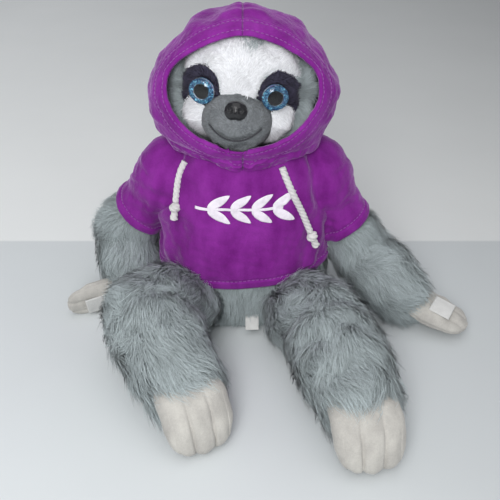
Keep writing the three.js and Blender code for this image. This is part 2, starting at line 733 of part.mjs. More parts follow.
// Arms, each in its sleeve
function makeArm(name) {
  const pose = ARM_POSES[name];
  const shoulder = shoulders[name];
  const upperAim = aim(pose.side, pose.upper);
  const elbow = shoulder.clone().addScaledVector(upperAim, UPPER_ARM_LENGTH);
  const foreAim = aim(pose.side, pose.fore);
  const wrist = elbow.clone().addScaledVector(foreAim, FOREARM_LENGTH);
  const handAim = aim(pose.side, pose.hand);
  const upward = point(0, 1, 0);

  const sleeveForm = (grow, extra) =>
    stuffedLimb({
      from: shoulder,
      to: shoulder.clone().addScaledVector(upperAim, SLEEVE_LENGTH + extra),
      width: 1,
      height: 1,
      profile: [
        [0, SLEEVE_ROOT_RADIUS, SLEEVE_ROOT_RADIUS],
        [0.6, SLEEVE_HEM_RADIUS, SLEEVE_HEM_RADIUS],
        [1, SLEEVE_HEM_RADIUS, SLEEVE_HEM_RADIUS],
      ],
      upward,
      roundRoot: true,
      grow,
      bodySteps: 3,
    });
  const armhole = cylinder(ARMHOLE_RADIUS, 0, SLEEVE_ROOT_RADIUS + OVERRUN)
    .rotate([0, -90 * pose.side, 0])
    .translate(shoulder.toArray());
  const sleeve = without(sleeveForm(0, 0), sleeveForm(-CLOTH, OVERRUN), armhole, bodyKeepOut);

  const upperForm = stuffedLimb({
    from: shoulder,
    to: elbow,
    width: ARM_RADIUS,
    height: ARM_RADIUS,
    profile: UPPER_ARM_PROFILE_SHARES,
    upward,
    roundRoot: true,
    roundTip: true,
  });
  const sleeveSpace = without(sleeveForm(OVERRUN * 2, SEAM_GAP), sleeveForm(-CLOTH - SEAM_GAP, OVERRUN));
  const upperArm = restedOnTable(without(upperForm, sleeveSpace, bodyKeepOut));

  const elbowAxis = new THREE.Vector3().crossVectors(upperAim, foreAim).normalize();
  const elbowBend = THREE.MathUtils.radToDeg(upperAim.angleTo(foreAim));
  const elbowTurn = {
    pivot: elbow,
    axis: elbowAxis,
    low: -Math.floor(elbowBend - STRAIGHT_MARGIN),
    high: Math.floor(LIMB_BEND_LIMIT - elbowBend),
  };
  const foreForm = stuffedLimb({
    from: elbow,
    to: wrist,
    width: ARM_RADIUS,
    height: ARM_RADIUS,
    profile: FOREARM_PROFILE_SHARES,
    upward: UP,
    roundTip: true,
  });
  const elbowCup = jointCup(elbowTurn, upperAim, ARM_RADIUS * UPPER_ARM_PROFILE_SHARES.at(-1)[1], ARM_RADIUS);
  const forearm = restedOnTable(without(foreForm, elbowCup, bodyKeepOut));

  const across = new THREE.Vector3().crossVectors(handAim, UP).normalize().multiplyScalar(pose.side);
  const palmUp = UP.clone().applyAxisAngle(handAim, radians(pose.palmRoll) * pose.side);
  const tip = wrist.clone().addScaledVector(handAim, HAND_LENGTH);
  const handForm = (grow) =>
    stuffedLimb({
      from: wrist,
      to: tip,
      width: HAND_HALF_WIDTH,
      height: HAND_HALF_THICKNESS,
      profile: HAND_PROFILE_SHARES,
      upward: palmUp,
      roundTip: true,
      grow,
    });
  const wristTurn = { pivot: wrist, axis: across, low: -WRIST_LIMIT, high: WRIST_LIMIT };
  const wristRadius = ARM_RADIUS * FOREARM_PROFILE_SHARES.at(-1)[1];
  const behindWrist = ARM_RADIUS * FOREARM_PROFILE_SHARES.at(-3)[1];
  const wristCup = jointCup(wristTurn, foreAim, wristRadius, behindWrist);
  const hand = restedOnTable(without(handForm(0), wristCup));

  const patchMiddle = wrist.clone().addScaledVector(handAim, HAND_LENGTH * VELCRO_PLACE_SHARE);
  const patchSize = VELCRO_SIDE / 2;
  const patchBasis = new THREE.Matrix4()
    .makeBasis(handAim, new THREE.Vector3().crossVectors(palmUp, handAim), palmUp)
    .setPosition(patchMiddle);
  const patchBlock = box(point(-patchSize, -patchSize, 0), point(patchSize, patchSize, HAND_LENGTH));
  const patchShell = without(handForm(SEAM_GAP + VELCRO_THICKNESS), handForm(SEAM_GAP));
  const velcro = without(transformed(patchBlock, patchBasis).intersect(patchShell), wristCup);

  const upperGroup = bodyGroup("arm_" + name, shoulder, torsoGroup);
  addPiece(upperGroup, "sleeve_" + name, sleeve, "purpleVelour");
  addPiece(upperGroup, "upper_arm_" + name, upperArm, "greyFur");
  const foreGroup = bodyGroup("forearm_body_" + name, elbow, upperGroup);
  addPiece(foreGroup, "forearm_" + name, forearm, "greyFur");
  const handGroup = bodyGroup("hand_body_" + name, wrist, foreGroup);
  addPiece(handGroup, "hand_" + name, hand, "creamVelboa");
  addPiece(handGroup, "velcro_patch_" + name, velcro, "whiteNylon");
  joints.push(
    { name: "shoulder_" + name, pivot: shoulder, axis: point(0, -pose.side, 0), low: 0, high: SHOULDER_LIMIT },
    { name: "elbow_" + name, ...elbowTurn },
    { name: "wrist_" + name, ...wristTurn },
  );
}

// Legs
function makeLeg(name) {
  const pose = LEG_POSES[name];
  const hip = hips[name];
  const thighAim = aim(pose.side, pose.thigh);
  const knee = hip.clone().addScaledVector(thighAim, THIGH_LENGTH);
  const shinAim = aim(pose.side, pose.shin);
  const ankle = knee.clone().addScaledVector(shinAim, SHIN_LENGTH);
  const footAim = aim(pose.side, pose.foot);
  const footAcross = new THREE.Vector3().crossVectors(footAim, UP).normalize();

  const thighForm = stuffedLimb({
    from: hip,
    to: knee,
    width: LEG_HALF_WIDTH,
    height: LEG_HALF_HEIGHT,
    profile: THIGH_PROFILE_SHARES,
    upward: UP,
    roundRoot: true,
    roundTip: true,
  });
  const hipTurn = { pivot: hip, axis: point(-1, 0, 0), low: -HIP_DOWN_LIMIT, high: HIP_UP_LIMIT };
  const hipKeepOut = without(placesOf(waistReach, hipTurn), crossBall(hip, HIP_RADIUS));
  const thigh = restedOnTable(without(thighForm, hipKeepOut));

  const kneeAxis = point(-1, 0, 0);
  const kneeTurn = { pivot: knee, axis: kneeAxis, low: -KNEE_LIMIT, high: 0 };
  const shinForm = stuffedLimb({
    from: knee,
    to: ankle,
    width: LEG_HALF_WIDTH,
    height: LEG_HALF_HEIGHT,
    profile: SHIN_PROFILE_SHARES,
    upward: UP,
    roundTip: true,
  });
  const shin = restedOnTable(without(shinForm, jointCup(kneeTurn, thighAim, KNEE_RADIUS, LEG_HALF_WIDTH)));

  const clawForm = (index) => {
    const reach = CLAW_REACH + (index === 0 ? MIDDLE_CLAW_EXTRA : 0);
    const spine = CLAW_SPINE_SHARES.map(([forward, lift]) =>
      ankle
        .clone()
        .addScaledVector(footAim, reach * forward)
        .addScaledVector(footAcross, CLAW_SPACING * index)
        .addScaledVector(UP, CLAW_DROP * lift),
    );
    return bentRoll(spine, footAcross, CLAW_HALF_WIDTH, CLAW_HALF_THICKNESS);
  };
  const claws = union([-1, 0, 1].map(clawForm));
  const ankleTurn = { pivot: ankle, axis: footAcross, low: -ANKLE_LIMIT, high: ANKLE_LIMIT };
  const foot = restedOnTable(without(claws, jointCup(ankleTurn, shinAim, ANKLE_RADIUS, ANKLE_RADIUS)));

  const thighGroup = bodyGroup("thigh_body_" + name, hip, torsoGroup);
  addPiece(thighGroup, "thigh_" + name, thigh, "greyFur");
  const shinGroup = bodyGroup("shin_body_" + name, knee, thighGroup);
  addPiece(shinGroup, "shin_" + name, shin, "greyFur");
  const footGroup = bodyGroup("foot_body_" + name, ankle, shinGroup);
  addPiece(footGroup, "foot_" + name, foot, "creamVelboa");
  joints.push(
    { name: "hip_" + name, ...hipTurn },
    { name: "knee_" + name, ...kneeTurn },
    { name: "ankle_" + name, ...ankleTurn },
  );
}

// Head and face, built round the head's middle and then turned and placed
const headMiddle = point(HEAD_X, HEAD_Y, HEAD_Z);
const headPlace = new THREE.Matrix4()
  .makeRotationFromEuler(new THREE.Euler(0, radians(HEAD_ROLL), radians(HEAD_YAW), "ZYX"))
  .setPosition(headMiddle);
const placedHead = (solid) => transformed(solid, headPlace);
const neckPivot = point(0, HEAD_Y, BODY_HEIGHT);
const headGroup = bodyGroup("head_body", neckPivot, torsoGroup);

const headForm = (grow) =>
  egg(point(0, 0, 0), HEAD_HALF_WIDTH + grow, HEAD_HALF_DEPTH + grow, HEAD_HALF_HEIGHT + grow, 20);
const muzzleForm = (grow) =>
  egg(
    point(0, MUZZLE_Y, MUZZLE_Z),
    MUZZLE_HALF_WIDTH + grow,
    MUZZLE_HALF_DEPTH + grow,
    MUZZLE_HALF_HEIGHT + grow,
    18,
  );
const frontSlab = (shape) => slabAlongY(shape, -HEAD_HALF_DEPTH * 2, 0);
const faceSlab = (grow) =>
  frontSlab(ellipseShape(0, FACE_CENTRE_Z, FACE_HALF_WIDTH + grow, FACE_HALF_HEIGHT + grow));

// The dark patch over an eye, its outline in shares of the eye's radius, outward and up.
function patchSlab(side, grow) {
  const corners = PATCH_OUTLINE_SHARES.map(
    ([out, up]) => new THREE.Vector2(side * (EYE_X + out * EYE_RADIUS), EYE_Z + up * EYE_RADIUS),
  );
  const outline = new THREE.SplineCurve([...corners, corners[0]]).getPoints(PATCH_STEPS).slice(0, -1);
  const grown = outline.map((p, i) => {
    const before = outline[(i + outline.length - 1) % outline.length];
    const after = outline[(i + 1) % outline.length];
    const run = after.clone().sub(before).normalize();
    return new THREE.Vector2(p.x - side * run.y * grow, p.y + side * run.x * grow);
  });
  return frontSlab(new THREE.Shape(grown));
}

// The place of an eye on the face: its seat's middle and the way that it looks.
function eyePlace(side) {
  const x = side * EYE_X;
  const rest = 1 - (x / HEAD_HALF_WIDTH) ** 2 - (EYE_Z / HEAD_HALF_HEIGHT) ** 2;
  const seat = point(x, -HEAD_HALF_DEPTH * Math.sqrt(rest) + EYE_SINK, EYE_Z);
  const looking = point(side * Math.sin(radians(EYE_TURN_OUT)), -Math.cos(radians(EYE_TURN_OUT)), 0);
  const turn = new THREE.Quaternion().setFromUnitVectors(UP, looking);
  return new THREE.Matrix4().compose(seat, turn, point(1, 1, 1));
}

// The hollow for an eye or nose: a flat seat, a bore for the post, and the washer's pocket.
function postHollow(seatRadius) {
  const bore = cylinder(POST_RADIUS + SEAM_GAP, -POST_LENGTH - SEAM_GAP, OVERRUN, POST_SIDES);
  const pocketTop = -WASHER_DEPTH + SEAM_GAP;
  const pocketBottom = pocketTop - WASHER_THICKNESS - SEAM_GAP * 2;
  const pocket = cylinder(WASHER_RADIUS + SEAM_GAP, pocketBottom, pocketTop, WASHER_SIDES);
  return union([cylinder(seatRadius, 0, EYE_RADIUS, EYE_SIDES), bore, pocket]);
}

function washer() {
  const bottom = -WASHER_DEPTH - WASHER_THICKNESS;
  const ring = cylinder(WASHER_RADIUS, bottom, -WASHER_DEPTH, WASHER_SIDES);
  const hole = cylinder(POST_RADIUS + SEAM_GAP, bottom - OVERRUN, OVERRUN, POST_SIDES);
  return without(ring, hole);
}

function eyePieces() {
  const irisTop = SEAM_GAP + IRIS_THICKNESS;
  const pupilBottom = irisTop + SEAM_GAP;
  const pupilTop = pupilBottom + PUPIL_THICKNESS;
  const iris = without(
    cylinder(EYE_RADIUS - SEAM_GAP, SEAM_GAP, irisTop, EYE_SIDES),
    cylinder(POST_RADIUS + SEAM_GAP, -OVERRUN, irisTop + OVERRUN, POST_SIDES),
  );
  const pupil = cylinder(PUPIL_RADIUS, pupilBottom, pupilTop, EYE_SIDES).add(
    cylinder(POST_RADIUS, -POST_LENGTH, pupilTop, POST_SIDES),
  );
  const recess = PUPIL_RADIUS + SEAM_GAP;
  const outline = [
    new THREE.Vector2(0, pupilTop + SEAM_GAP),
    new THREE.Vector2(recess, pupilTop + SEAM_GAP),
    new THREE.Vector2(recess, pupilBottom),
    new THREE.Vector2(EYE_RADIUS, pupilBottom),
    new THREE.Vector2(EYE_RADIUS, pupilBottom + LENS_RIM),
  ];
  for (const angle of LENS_DOME_ANGLES) {
    outline.push(
      new THREE.Vector2(
        EYE_RADIUS * Math.cos(radians(angle)),
        pupilBottom + LENS_RIM + (LENS_HEIGHT - LENS_RIM) * Math.sin(radians(angle)),
      ),
    );
  }
  outline.push(new THREE.Vector2(0, pupilBottom + LENS_HEIGHT));
  const lens = solidFrom(new THREE.LatheGeometry(outline, EYE_SIDES).rotateX(Math.PI / 2));
  return { iris, pupil, lens };
}

function nosePieces() {
  const dome = new THREE.SphereGeometry(1, 16, 10).scale(NOSE_HALF_WIDTH, NOSE_HALF_HEIGHT, NOSE_HALF_DEPTH);
  const nostril = (side) =>
    cylinder(NOSTRIL_RADIUS, NOSE_HALF_DEPTH - NOSTRIL_DEPTH * 2, NOSE_HALF_DEPTH + OVERRUN, 10).translate([
      side * NOSTRIL_X,
      0,
      0,
    ]);
  const notch = cylinder(NOSE_NOTCH_RADIUS, -NOSE_HALF_DEPTH, NOSE_HALF_DEPTH + OVERRUN, 10).translate([
    0,
    -NOSE_HALF_HEIGHT,
    0,
  ]);
  const nose = without(solidFrom(dome).trimByPlane([0, 0, 1], SEAM_GAP), nostril(1), nostril(-1), notch);
  return nose.add(cylinder(POST_RADIUS, -POST_LENGTH, SEAM_GAP * 2, POST_SIDES));
}

function makeHead() {
  const backing = headForm(-FACE_PILE);
  const backingKeepOut = headForm(-FACE_PILE + SEAM_GAP);
  const neckSocket = cylinder(NECK_RADIUS + SWING_GAP, BODY_HEIGHT, NECK_HEIGHT + SEAM_GAP, BODY_SIDES).translate([
    0,
    HEAD_Y,
    0,
  ]);
  const eyes = { left: eyePlace(1), right: eyePlace(-1) };
  const eyeHollows = sideNames.map((name) =>
    transformed(postHollow(EYE_RADIUS + SEAM_GAP), eyes[name]),
  );
  const noseSlope = Math.sqrt(1 - ((NOSE_Z - MUZZLE_Z) / MUZZLE_HALF_HEIGHT) ** 2);
  const noseSeat = point(0, MUZZLE_Y - MUZZLE_HALF_DEPTH * noseSlope + NOSE_BACK, NOSE_Z);
  const noseLook = point(0, -1, NOSE_TILT_SHARE).normalize();
  const noseTurn = new THREE.Matrix4().makeBasis(
    point(1, 0, 0),
    new THREE.Vector3().crossVectors(noseLook, point(1, 0, 0)),
    noseLook,
  );
  const nosePlace = noseTurn.setPosition(noseSeat);
  const noseHollow = transformed(postHollow(NOSE_HALF_WIDTH), nosePlace);

  const faceRecess = without(faceSlab(0), backing);
  const head = without(headForm(0), faceRecess, noseHollow, ...eyeHollows);
  const headKeepOut = without(headForm(SEAM_GAP), without(faceSlab(-SEAM_GAP), backingKeepOut));
  const muzzle = without(muzzleForm(0), headKeepOut, noseHollow, ...eyeHollows);

  const skin = without(headForm(0), backingKeepOut).intersect(faceSlab(-SEAM_GAP));
  const patches = { left: patchSlab(1, 0), right: patchSlab(-1, 0) };
  const patchKeepOuts = [patchSlab(1, SEAM_GAP), patchSlab(-1, SEAM_GAP)];
  const muzzleKeepOut = muzzleForm(SEAM_GAP);
  const white = without(skin, muzzleKeepOut, ...patchKeepOuts, ...eyeHollows);
  const clearOfNeck = (solid) => without(placedHead(solid), neckSocket);
  addPiece(headGroup, "head", clearOfNeck(head), "greyFur");
  const forehead = white.trimByPlane([0, 0, 1], CHEEK_LINE_Z + SEAM_GAP);
  addPiece(headGroup, "forehead", placedHead(forehead), "whitePlush");
  const lower = white.trimByPlane([0, 0, -1], -CHEEK_LINE_Z);
  const { iris, pupil, lens } = eyePieces();
  for (const name of sideNames) {
    const side = sideSign[name];
    const cheek = lower.trimByPlane([side, 0, 0], SEAM_GAP);
    addPiece(headGroup, "cheek_" + name, clearOfNeck(cheek), "whitePlush");
    const patch = without(skin.intersect(patches[name]), muzzleKeepOut, ...eyeHollows);
    addPiece(headGroup, "eye_patch_" + name, placedHead(patch), "darkPlush");
    const placed = (solid) => placedHead(transformed(solid, eyes[name]));
    addPiece(headGroup, "iris_" + name, placed(iris), "blueGlitter");
    addPiece(headGroup, "pupil_" + name, placed(pupil), "blackPlastic");
    addPiece(headGroup, "eye_lens_" + name, placed(lens), "clearPlastic");
    addPiece(headGroup, "eye_washer_" + name, placed(washer()), "whitePlastic");
  }
  addPiece(headGroup, "muzzle", clearOfNeck(muzzle), "muzzlePlush");
  addPiece(headGroup, "nose", placedHead(transformed(nosePieces(), nosePlace)), "blackPlastic");
  addPiece(headGroup, "nose_washer", placedHead(transformed(washer(), nosePlace)), "whitePlastic");
  addPiece(headGroup, "mouth_stitching", placedHead(mouthStitching()), "darkPlush");
}

// The embroidered smile, laid on the muzzle.
function mouthStitching() {
  const route = [];
  for (let i = -MOUTH_HALF_STEPS; i <= MOUTH_HALF_STEPS; i++) {
    const share = i / MOUTH_HALF_STEPS;
    const x = MOUTH_HALF_WIDTH * share;
    const z = MOUTH_TOP_Z - MOUTH_SAG * (1 - share ** 2);
    const rest = 1 - (x / MUZZLE_HALF_WIDTH) ** 2 - ((z - MUZZLE_Z) / MUZZLE_HALF_HEIGHT) ** 2;
    const skin = MUZZLE_HALF_DEPTH * Math.sqrt(rest);
    route.push(point(x, MUZZLE_Y - skin, z));
  }
  const middle = point(0, MUZZLE_Y, MUZZLE_Z);
  const lift = THREAD_RADIUS + SEAM_GAP;
  route.forEach((p) => p.add(p.clone().sub(middle).normalize().multiplyScalar(lift)));
  return tube(route, THREAD_RADIUS, 6, 20);
}

// Hood, in two halves with a seam over the crown
function makeHood() {
  const outer = hoodForm(0);
  const inner = hoodForm(-CLOTH);
  const openingDepth = HOOD_Y - HOOD_HALF_DEPTH * 2;
  const opening = slabAlongY(openingShape(0), openingDepth, HOOD_Y, 6);
  const neckHole = cylinder(1, HOOD_BOTTOM - OVERRUN, HOOD_BOTTOM + CLOTH * 2, HOOD_SIDES)
    .scale([NECK_HOLE_HALF_WIDTH, NECK_HOLE_HALF_DEPTH, 1])
    .translate([0, HOOD_Y, 0]);
  const shell = without(outer, inner, opening, neckHole);
  const bandSlab = slabAlongY(openingShape(RIM_BAND_WIDTH), openingDepth, HOOD_Y, 6);
  const band = without(hoodForm(RIM_BAND_THICKNESS), inner, opening).intersect(bandSlab);
  const chinKeepOut = placedHead(muzzleForm(SEAM_GAP));
  const hood = without(shell.add(band), chinKeepOut).trimByPlane([0, 0, 1], HOOD_BOTTOM);
  for (const name of sideNames) {
    const side = sideSign[name];
    const half = hood.trimByPlane([side, 0, 0], halfSeam);
    addPiece(headGroup, "hood_" + name, half, "purpleVelour");
  }
  joints.push({
    name: "neck",
    pivot: neckPivot,
    axis: UP,
    low: -NECK_TURN_LIMIT,
    high: NECK_TURN_LIMIT,
  });
}

// Drawstrings, each with its knot and frayed end
function makeDrawstring(name) {
  const route = STRING_ROUTES[name].map(([x, y, z]) => point(x, y, z));
  const end = route[route.length - 1];
  const run = end.clone().sub(route[route.length - 2]).normalize();
  const knotMiddle = end.clone().addScaledVector(run, KNOT_RADIUS + SEAM_GAP);
  const toRun = new THREE.Matrix4().compose(
    knotMiddle,
    new THREE.Quaternion().setFromUnitVectors(UP, run),
    point(1, 1, 1),
  );
  const knot = ball(point(0, 0, 0), KNOT_RADIUS);
  const tail = solidFrom(
    new THREE.CylinderGeometry(STRING_RADIUS, KNOT_TAIL_RADIUS, KNOT_TAIL_LENGTH, 10)
      .rotateX(-Math.PI / 2)
      .translate(0, 0, KNOT_TAIL_LENGTH / 2 + KNOT_RADIUS / 2),
  );
  addPiece(torsoGroup, "drawstring_" + name, tube(route, STRING_RADIUS, 8, 12), "whiteCotton");
  addPiece(torsoGroup, "knot_" + name, transformed(knot.add(tail), toRun), "whiteCotton");
}

// A leafy sprig across the chest, as one thin print that follows the cloth.
function makeChestPrint() {
  const sprig = [];
  const stem = box(
    point(-PRINT_HALF_WIDTH, -BODY_HALF_DEPTH * 2, -STEM_HALF_WIDTH),
    point(PRINT_HALF_WIDTH, 0, STEM_HALF_WIDTH),
  );
  sprig.push(stem);
  for (let i = 0; i < LEAF_PAIRS; i++) {
    const x = PRINT_HALF_WIDTH * ((2 * i + 1) / LEAF_PAIRS - 1);
    for (const turn of [LEAF_TURN, -LEAF_TURN]) {
      const leaf = ellipseShape(LEAF_LENGTH * LEAF_PLACE_SHARE, 0, LEAF_LENGTH, LEAF_HALF_WIDTH);
      sprig.push(
        slabAlongY(leaf, -BODY_HALF_DEPTH * 2, 0, 5)
          .rotate([0, turn, 0])
          .translate([x, 0, 0]),
      );
    }
  }
  const layer = without(
    bodyForm({ grow: PRINT_GAP + PRINT_THICKNESS, folds: true }),
    bodyForm({ grow: PRINT_GAP, folds: true }),
  );
  const print = union(sprig).translate([PRINT_X, 0, PRINT_Z]).intersect(layer);
  addPiece(torsoGroup, "chest_print", print, "whitePrint");
}

// The sewn-in label between the legs, left blank.
function makeLabel() {
  const depthShare = along(BODY_RING_SHARES, LABEL_Z / BODY_HEIGHT, 2);
  const front = BODY_CENTRE_Y - (BODY_HALF_DEPTH * depthShare - CLOTH - SEAM_GAP);
  const label = box(point(-LABEL_WIDTH / 2, -LABEL_LENGTH, 0), point(LABEL_WIDTH / 2, 0, LABEL_THICKNESS));
  const placed = label.rotate([LABEL_TILT, 0, 0]).translate([LABEL_X, front - SEAM_GAP, LABEL_Z]);
  addPiece(torsoGroup, "label", placed, "whiteNylon");
}

makeHead();
makeHood();
sideNames.forEach(makeDrawstring);
makeChestPrint();
makeLabel();
sideNames.forEach(makeArm);
sideNames.forEach(makeLeg);
root.userData.joints = joints;

export default root;
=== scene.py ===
"""A seated plush sloth in a hooded velour top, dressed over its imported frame.

Everything is in metres in the part's own frame: +Z up, the toy faces -Y, its left side is +X, and the
middle of its seat is at the origin.
"""

import functools
import json
import logging
import math
from dataclasses import dataclass, replace
from enum import Enum
from typing import Sequence

import bpy
import numpy as np
from mathutils import Matrix, Vector


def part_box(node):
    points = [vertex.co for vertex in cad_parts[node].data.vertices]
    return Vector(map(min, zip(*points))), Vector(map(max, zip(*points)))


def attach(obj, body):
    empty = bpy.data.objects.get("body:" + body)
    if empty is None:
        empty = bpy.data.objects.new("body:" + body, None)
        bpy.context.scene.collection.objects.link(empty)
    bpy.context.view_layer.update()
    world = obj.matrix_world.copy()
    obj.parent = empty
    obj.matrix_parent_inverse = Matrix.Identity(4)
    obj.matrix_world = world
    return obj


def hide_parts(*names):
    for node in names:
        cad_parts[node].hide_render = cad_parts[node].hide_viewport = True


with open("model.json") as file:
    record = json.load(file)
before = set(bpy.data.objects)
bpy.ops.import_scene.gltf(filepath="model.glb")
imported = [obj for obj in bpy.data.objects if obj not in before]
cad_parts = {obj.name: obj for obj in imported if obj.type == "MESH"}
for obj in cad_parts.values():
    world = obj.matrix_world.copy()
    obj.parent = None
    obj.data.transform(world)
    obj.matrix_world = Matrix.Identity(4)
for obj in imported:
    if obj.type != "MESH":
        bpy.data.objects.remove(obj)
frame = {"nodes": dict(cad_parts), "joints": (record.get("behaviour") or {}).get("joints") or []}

LOG = logging.getLogger("plush_sloth")
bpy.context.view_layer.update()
MM = 0.001
TABLE_GAP = 0.3 * MM
TINY = 1e-6
UP = np.array([0.0, 0.0, 1.0])
RIGHT = np.array([1.0, 0.0, 0.0])
BACK = np.array([0.0, 1.0, 0.0])
Array = np.ndarray
Colour = Triple = tuple[float, float, float]
Node = bpy.types.Node
Piece = bpy.types.Object
Socket = bpy.types.NodeSocket


class Side(Enum):
    """The toy's own left and right."""

    LEFT = "left"
    RIGHT = "right"

    @property
    def sign(self) -> int:
        """+1 on the toy's left, which is +X, and -1 on its right."""
        return 1 if self is Side.LEFT else -1


class Hold(Enum):
    STRETCHED = "stretched"
    DRAPED = "draped"


def pivot(joint: str) -> Array:
    """Finds where a joint of the frame turns, in metres."""
    return np.array(next(j["pos_m"] for j in frame["joints"] if j["name"] == joint))


def unit(vectors: Array) -> Array:
    """Scales one or many vectors to length 1."""
    return vectors / np.maximum(np.linalg.norm(vectors, axis=-1, keepdims=True), 1e-9)


def smooth_rows(rows: Sequence[Sequence[float]], shares: Array, column: int) -> Array:
    """Reads a smooth curve through the rows of a table.

    Args:
        rows: Rows that start with their place, lowest first.
        shares: The places to read.
        column: Which value of a row to read.

    Returns:
        One value for each place.
    """
    table = np.array(rows, float)
    places, values = table[:, 0], table[:, column]
    at = np.clip(shares, places[0], places[-1])
    i = np.clip(np.searchsorted(places, at, side="left") - 1, 0, len(places) - 2)
    before, after = np.maximum(i - 1, 0), np.minimum(i + 2, len(places) - 1)
    span = places[i + 1] - places[i]
    t = (at - places[i]) / span
    start = (values[i + 1] - values[before]) / (places[i + 1] - places[before]) * span
    end = (values[after] - values[i]) / (places[after] - places[i]) * span
    return (
        values[i] * (2 * t**3 - 3 * t**2 + 1)
        + start * (t**3 - 2 * t**2 + t)
        + values[i + 1] * (3 * t**2 - 2 * t**3)
        + end * (t**3 - t**2)
    )


def bump(distance: Array, width: float) -> Array:
    """A soft bell that is 1 at no distance and nearly 0 past its width."""
    return np.exp(-((distance / width) ** 2))


def ramp(distance: Array, width: float, low: float = 0.0) -> Array:
    """Rises with the distance up to 1 at the width, and is never under its low value."""
    return np.clip(distance / width, low, 1)


def around(count: int) -> Array:
    """Angles once round, without the last one, which meets the first."""
    return np.linspace(0, 2 * math.pi, count, endpoint=False)


def run_lengths(points: Array) -> Array:
    """How far along a line of points each one lies."""
    return np.concatenate([[0], np.cumsum(np.linalg.norm(np.diff(points, axis=0), axis=1))])


def through(knots: Array, count: int) -> Array:
    """Close, even points of a smooth line through knots."""
    lengths = run_lengths(knots)
    table = np.column_stack([lengths, knots])
    places = np.linspace(0, lengths[-1], count)
    return np.stack([smooth_rows(table, places, column) for column in range(1, table.shape[1])], -1)


def line_at(rows: Array, places: Array, place: float) -> Array:
    """Picks from each column of rows the point that lies nearest to a place."""
    level = np.argmin(np.abs(places - place), axis=0)
    return rows[level, np.arange(rows.shape[1])]


def moved(points: Array, place: Matrix) -> Array:
    """Moves points by a matrix."""
    m = np.array(place)
    return points @ m[:3, :3].T + m[:3, 3]


@dataclass(frozen=True)
class Ripple:
    """A smooth random field, the same on every run.

    Attributes:
        size: How far apart its crests lie, in metres.
        seed: Which field it is.
        waves: How many plane waves it adds up.
    """

    size: float
    seed: int
    waves: int = 9

    def at(self, points: Array) -> Array:
        """Reads the field, from about -1 to 1, at points of shape (..., 3)."""
        chance = np.random.default_rng(self.seed)
        runs = unit(chance.normal(size=(self.waves, 3))) * chance.uniform(0.7, 1.5, (self.waves, 1))
        phases = chance.uniform(0, 2 * math.pi, self.waves)
        turns = points @ (runs.T * 2 * math.pi / self.size) + phases
        return np.sin(turns).sum(-1) / math.sqrt(self.waves)

    def drift(self, points: Array) -> Array:
        """Reads three fields at once, as a vector at each point."""
        shifted = [replace(self, seed=self.seed + 100 * k).at(points) for k in (1, 2, 3)]
        return np.stack(shifted, -1)


class Graph:
    """Adds nodes to one node tree and wires them."""

    def __init__(self, tree: bpy.types.NodeTree) -> None:
        """Keeps the tree that the nodes go into."""
        self.tree = tree

    def add(self, kind: str, inputs: dict | None = None, **settings: object) -> Node:
        """Adds a node.

        Args:
            kind: The node's type.
            inputs: Values or sockets by the input's name or number.
            **settings: The node's own settings.

        Returns:
            The new node.
        """
        node = self.tree.nodes.new(kind)
        for name, value in settings.items():
            setattr(node, name, value)
        self.feed(node, inputs or {})
        return node

    def feed(self, node: Node, inputs: dict) -> None:
        """Links sockets to a node's inputs, or sets the inputs' own values."""
        for key, value in inputs.items():
            if isinstance(value, Socket):
                self.tree.links.new(value, node.inputs[key])
            else:
                node.inputs[key].default_value = value

    def math(self, operation: str, *values: object) -> Socket:
        """Adds a Math node and gives its result."""
        return self.add("ShaderNodeMath", dict(enumerate(values)), operation=operation).outputs[0]

    def times(self, *values: object) -> Socket:
        """Multiplies numbers, from the first on."""
        return functools.reduce(functools.partial(self.math, "MULTIPLY"), values)

    def line(self, value: object, slope: float, base: float) -> Socket:
        """Multiplies a number by a slope and adds a base."""
        return self.math("ADD", self.times(value, slope), base)

    def vector(self, operation: str, *values: object) -> Socket:
        """Adds a Vector Math node and gives its vector."""
        return self.add("ShaderNodeVectorMath", dict(enumerate(values)), operation=operation).outputs[0]

    def scaled(self, vector: object, size: object) -> Socket:
        """Scales a vector by a number."""
        return self.add("ShaderNodeVectorMath", {0: vector, "Scale": size}, operation="SCALE").outputs[0]

    def total(self, *vectors: object) -> Socket:
        """Adds vectors up, from the first on."""
        return functools.reduce(functools.partial(self.vector, "ADD"), vectors)

    def mix(self, share: object, first: Colour, second: Colour) -> Socket:
        """Mixes two colours."""
        inputs = {0: share, 6: rgba(first), 7: rgba(second)}
        return self.add("ShaderNodeMix", inputs, data_type="RGBA").outputs[2]

    def noise(self, place: object, scale: float, detail: float = 2.0) -> Socket:
        """Adds a noise and gives its grey value."""
        return self.add("ShaderNodeTexNoise", {"Vector": place, "Scale": scale, "Detail": detail}).outputs[0]

    def spread(self, value: object, low: float, high: float) -> Socket:
        """Maps a 0 to 1 value onto a range."""
        return self.add("ShaderNodeMapRange", {0: value, 3: low, 4: high}).outputs[0]

    def place(self) -> Socket:
        """Gives the shaded point's place in the object."""
        return self.add("ShaderNodeTexCoord").outputs["Object"]

    def stored(self, name: str, kind: str = "Fac") -> Socket:
        """Reads a value that the mesh stores."""
        return self.add("ShaderNodeAttribute", attribute_name=name).outputs[kind]

    def relief(self, height: object, strength: float, depth: float) -> Socket:
        """Turns a height into a normal of that relief."""
        inputs = {"Strength": strength, "Distance": depth, "Height": height}
        return self.add("ShaderNodeBump", inputs).outputs[0]


def rgba(colour: Colour) -> tuple[float, float, float, float]:
    """Adds full alpha to a colour."""
    return (*colour, 1.0)


